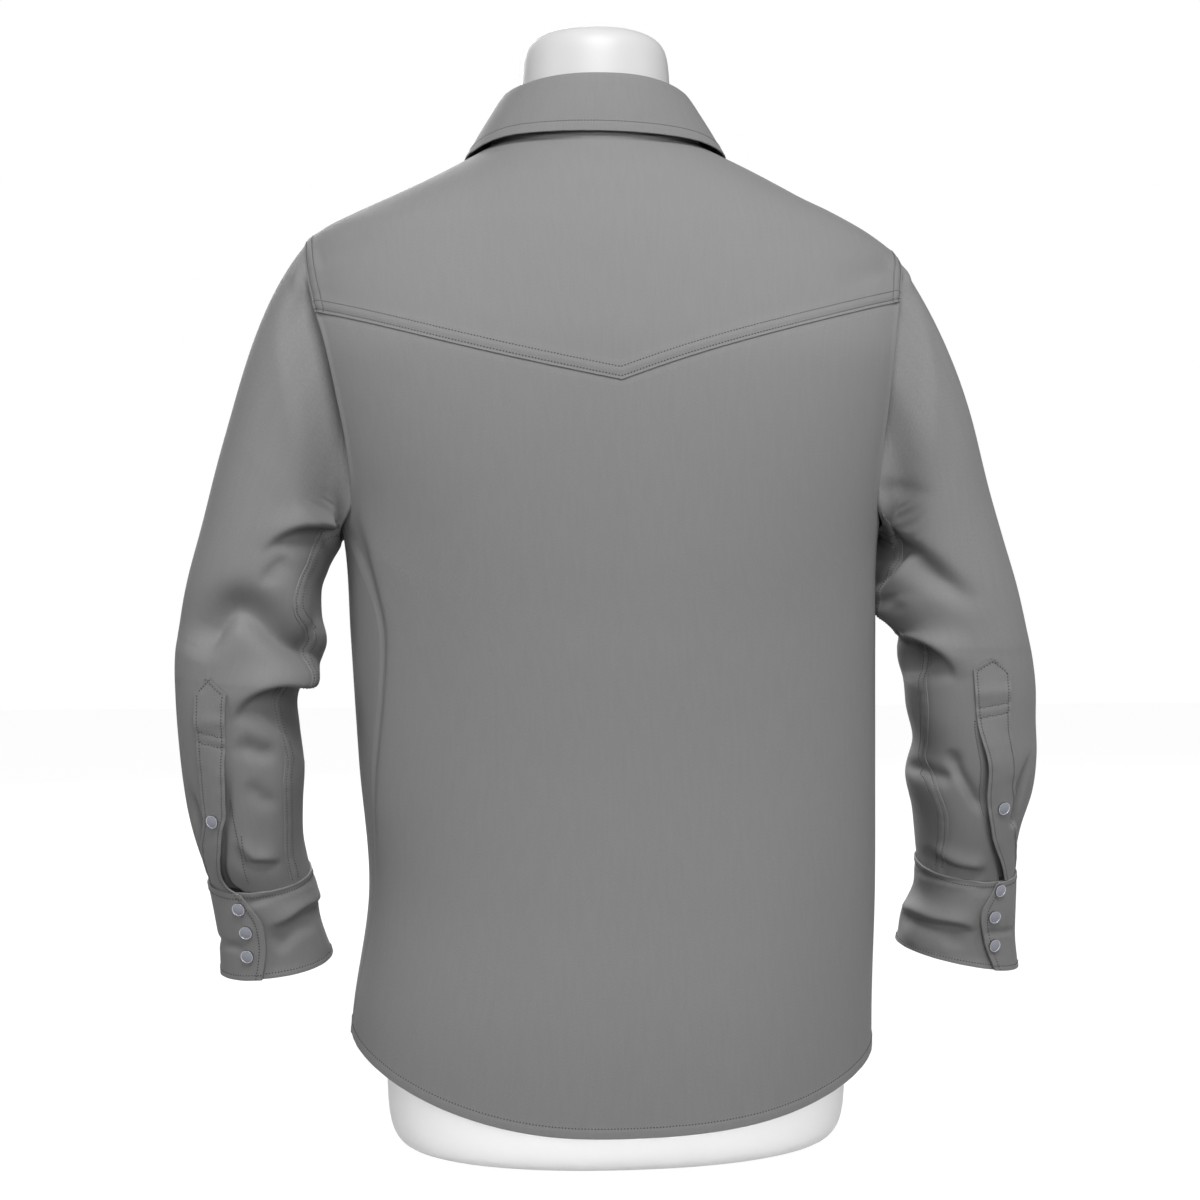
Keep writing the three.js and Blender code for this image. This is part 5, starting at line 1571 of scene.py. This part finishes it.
def place_snaps(model, clothes):
    """Puts a copy of the snap on the cloth wherever the frame has one."""
    for name in sorted(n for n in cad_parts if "snap" in n):
        low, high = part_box(name)
        across, up = SNAP_MOVES.get(name, (0, 0))
        centre = (Vector(low) + Vector(high)) / 2 + Vector((across, 0, up)) * MM
        piece, outwards = cloth_under(name)
        tree = BVHTree.FromObject(clothes[piece], bpy.context.evaluated_depsgraph_get())
        start = centre + outwards * RAY_START * MM
        place = tree.ray_cast(start, -outwards)[0]
        around = [tree.ray_cast(start + Vector(way) * RAY_SPREAD * MM, -outwards)[0] for way in CROSS]
        normal = (around[0] - around[2]).cross(around[1] - around[3]).normalized()
        if normal.dot(outwards) < 0:
            normal = -normal
        snap = model.copy()
        snap.data = model.data.copy()
        snap.name = name + "_metal"
        bpy.context.collection.objects.link(snap)
        turn = normal.to_track_quat("Z", "Y").to_matrix().to_4x4()
        turn.translation = place + normal * SNAP_STAND_OFF * MM
        snap.data.transform(turn)
        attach(snap, "root")
        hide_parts(name)
    bpy.data.objects.remove(model)


def cloth_under(name):
    """The piece that a snap sits on, and the way it faces."""
    if name.startswith("front"):
        return "collar_stand" if name == "front_snap_7" else "front_band", Vector((0, -1, 0))
    side, hand = ("left", 1) if "left" in name else ("right", -1)
    piece = "cuff" if name.startswith("cuff") else "sleeve_placket"
    return f"{piece}_{side}", Vector((0.35 * hand, 1, 0)).normalized()


def make_form(material):
    """The torso form: a finer, smoothed copy of the frame's own solid."""
    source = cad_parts["dress_form"]
    form = source.copy()
    form.data = source.data.copy()
    form.name = "form_body"
    form.parent = None
    bpy.context.collection.objects.link(form)
    form.matrix_world.identity()
    select_only(form)
    form.data.materials.clear()
    form.data.materials.append(material)
    bpy.ops.object.mode_set(mode="EDIT")
    bpy.ops.mesh.select_all(action="SELECT")
    bpy.ops.mesh.remove_doubles(threshold=0.00005)
    bpy.ops.mesh.tris_convert_to_quads()
    bpy.ops.object.mode_set(mode="OBJECT")
    smooth = form.modifiers.new("smooth", "SUBSURF")
    smooth.levels = smooth.render_levels = 2
    bpy.ops.object.modifier_apply(modifier="smooth")
    bpy.ops.object.shade_smooth_by_angle(angle=math.radians(40))
    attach(form, "root")
    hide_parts("dress_form")
    light_the_form(form)


def main():
    make_camera()
    make_studio()
    cloth = cloth_material()
    # The stitches' near-black colour is painted shade for the needle holes and the shadow between stitches.
    thread = painted_shade_thread_material()
    rows = []
    clothes = {
        "back_panel": make_back(cloth, rows),
        "back_yoke": make_yoke(cloth, rows),
        "front_left": make_front(1, cloth, rows),
        "front_right": make_front(-1, cloth, rows),
        "front_band": make_front_band(cloth, rows),
        "collar_stand": make_stand(cloth, rows),
        "collar_leaf": make_leaf(cloth, rows),
    }
    for hand in (1, -1):
        name = side_name(hand)
        clothes[f"sleeve_{name}"] = make_sleeve(hand, cloth, rows)
        clothes[f"sleeve_placket_{name}"] = make_placket(hand, cloth, rows)
        clothes[f"cuff_{name}"] = make_cuff(hand, cloth, rows)
    for name, piece in clothes.items():
        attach(piece, "root")
        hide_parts(name)
    sewing = stitches("sewing", rows, thread)
    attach(sewing, "root")
    make_form(form_material())
    ring = steel_material("snap_ring", (0.42, 0.42, 0.45), 0.38, 1.0)
    cap = steel_material("snap_cap", (0.32, 0.33, 0.39), 0.35, 0.0)
    place_snaps(make_snap_model(ring, cap), clothes)


main()
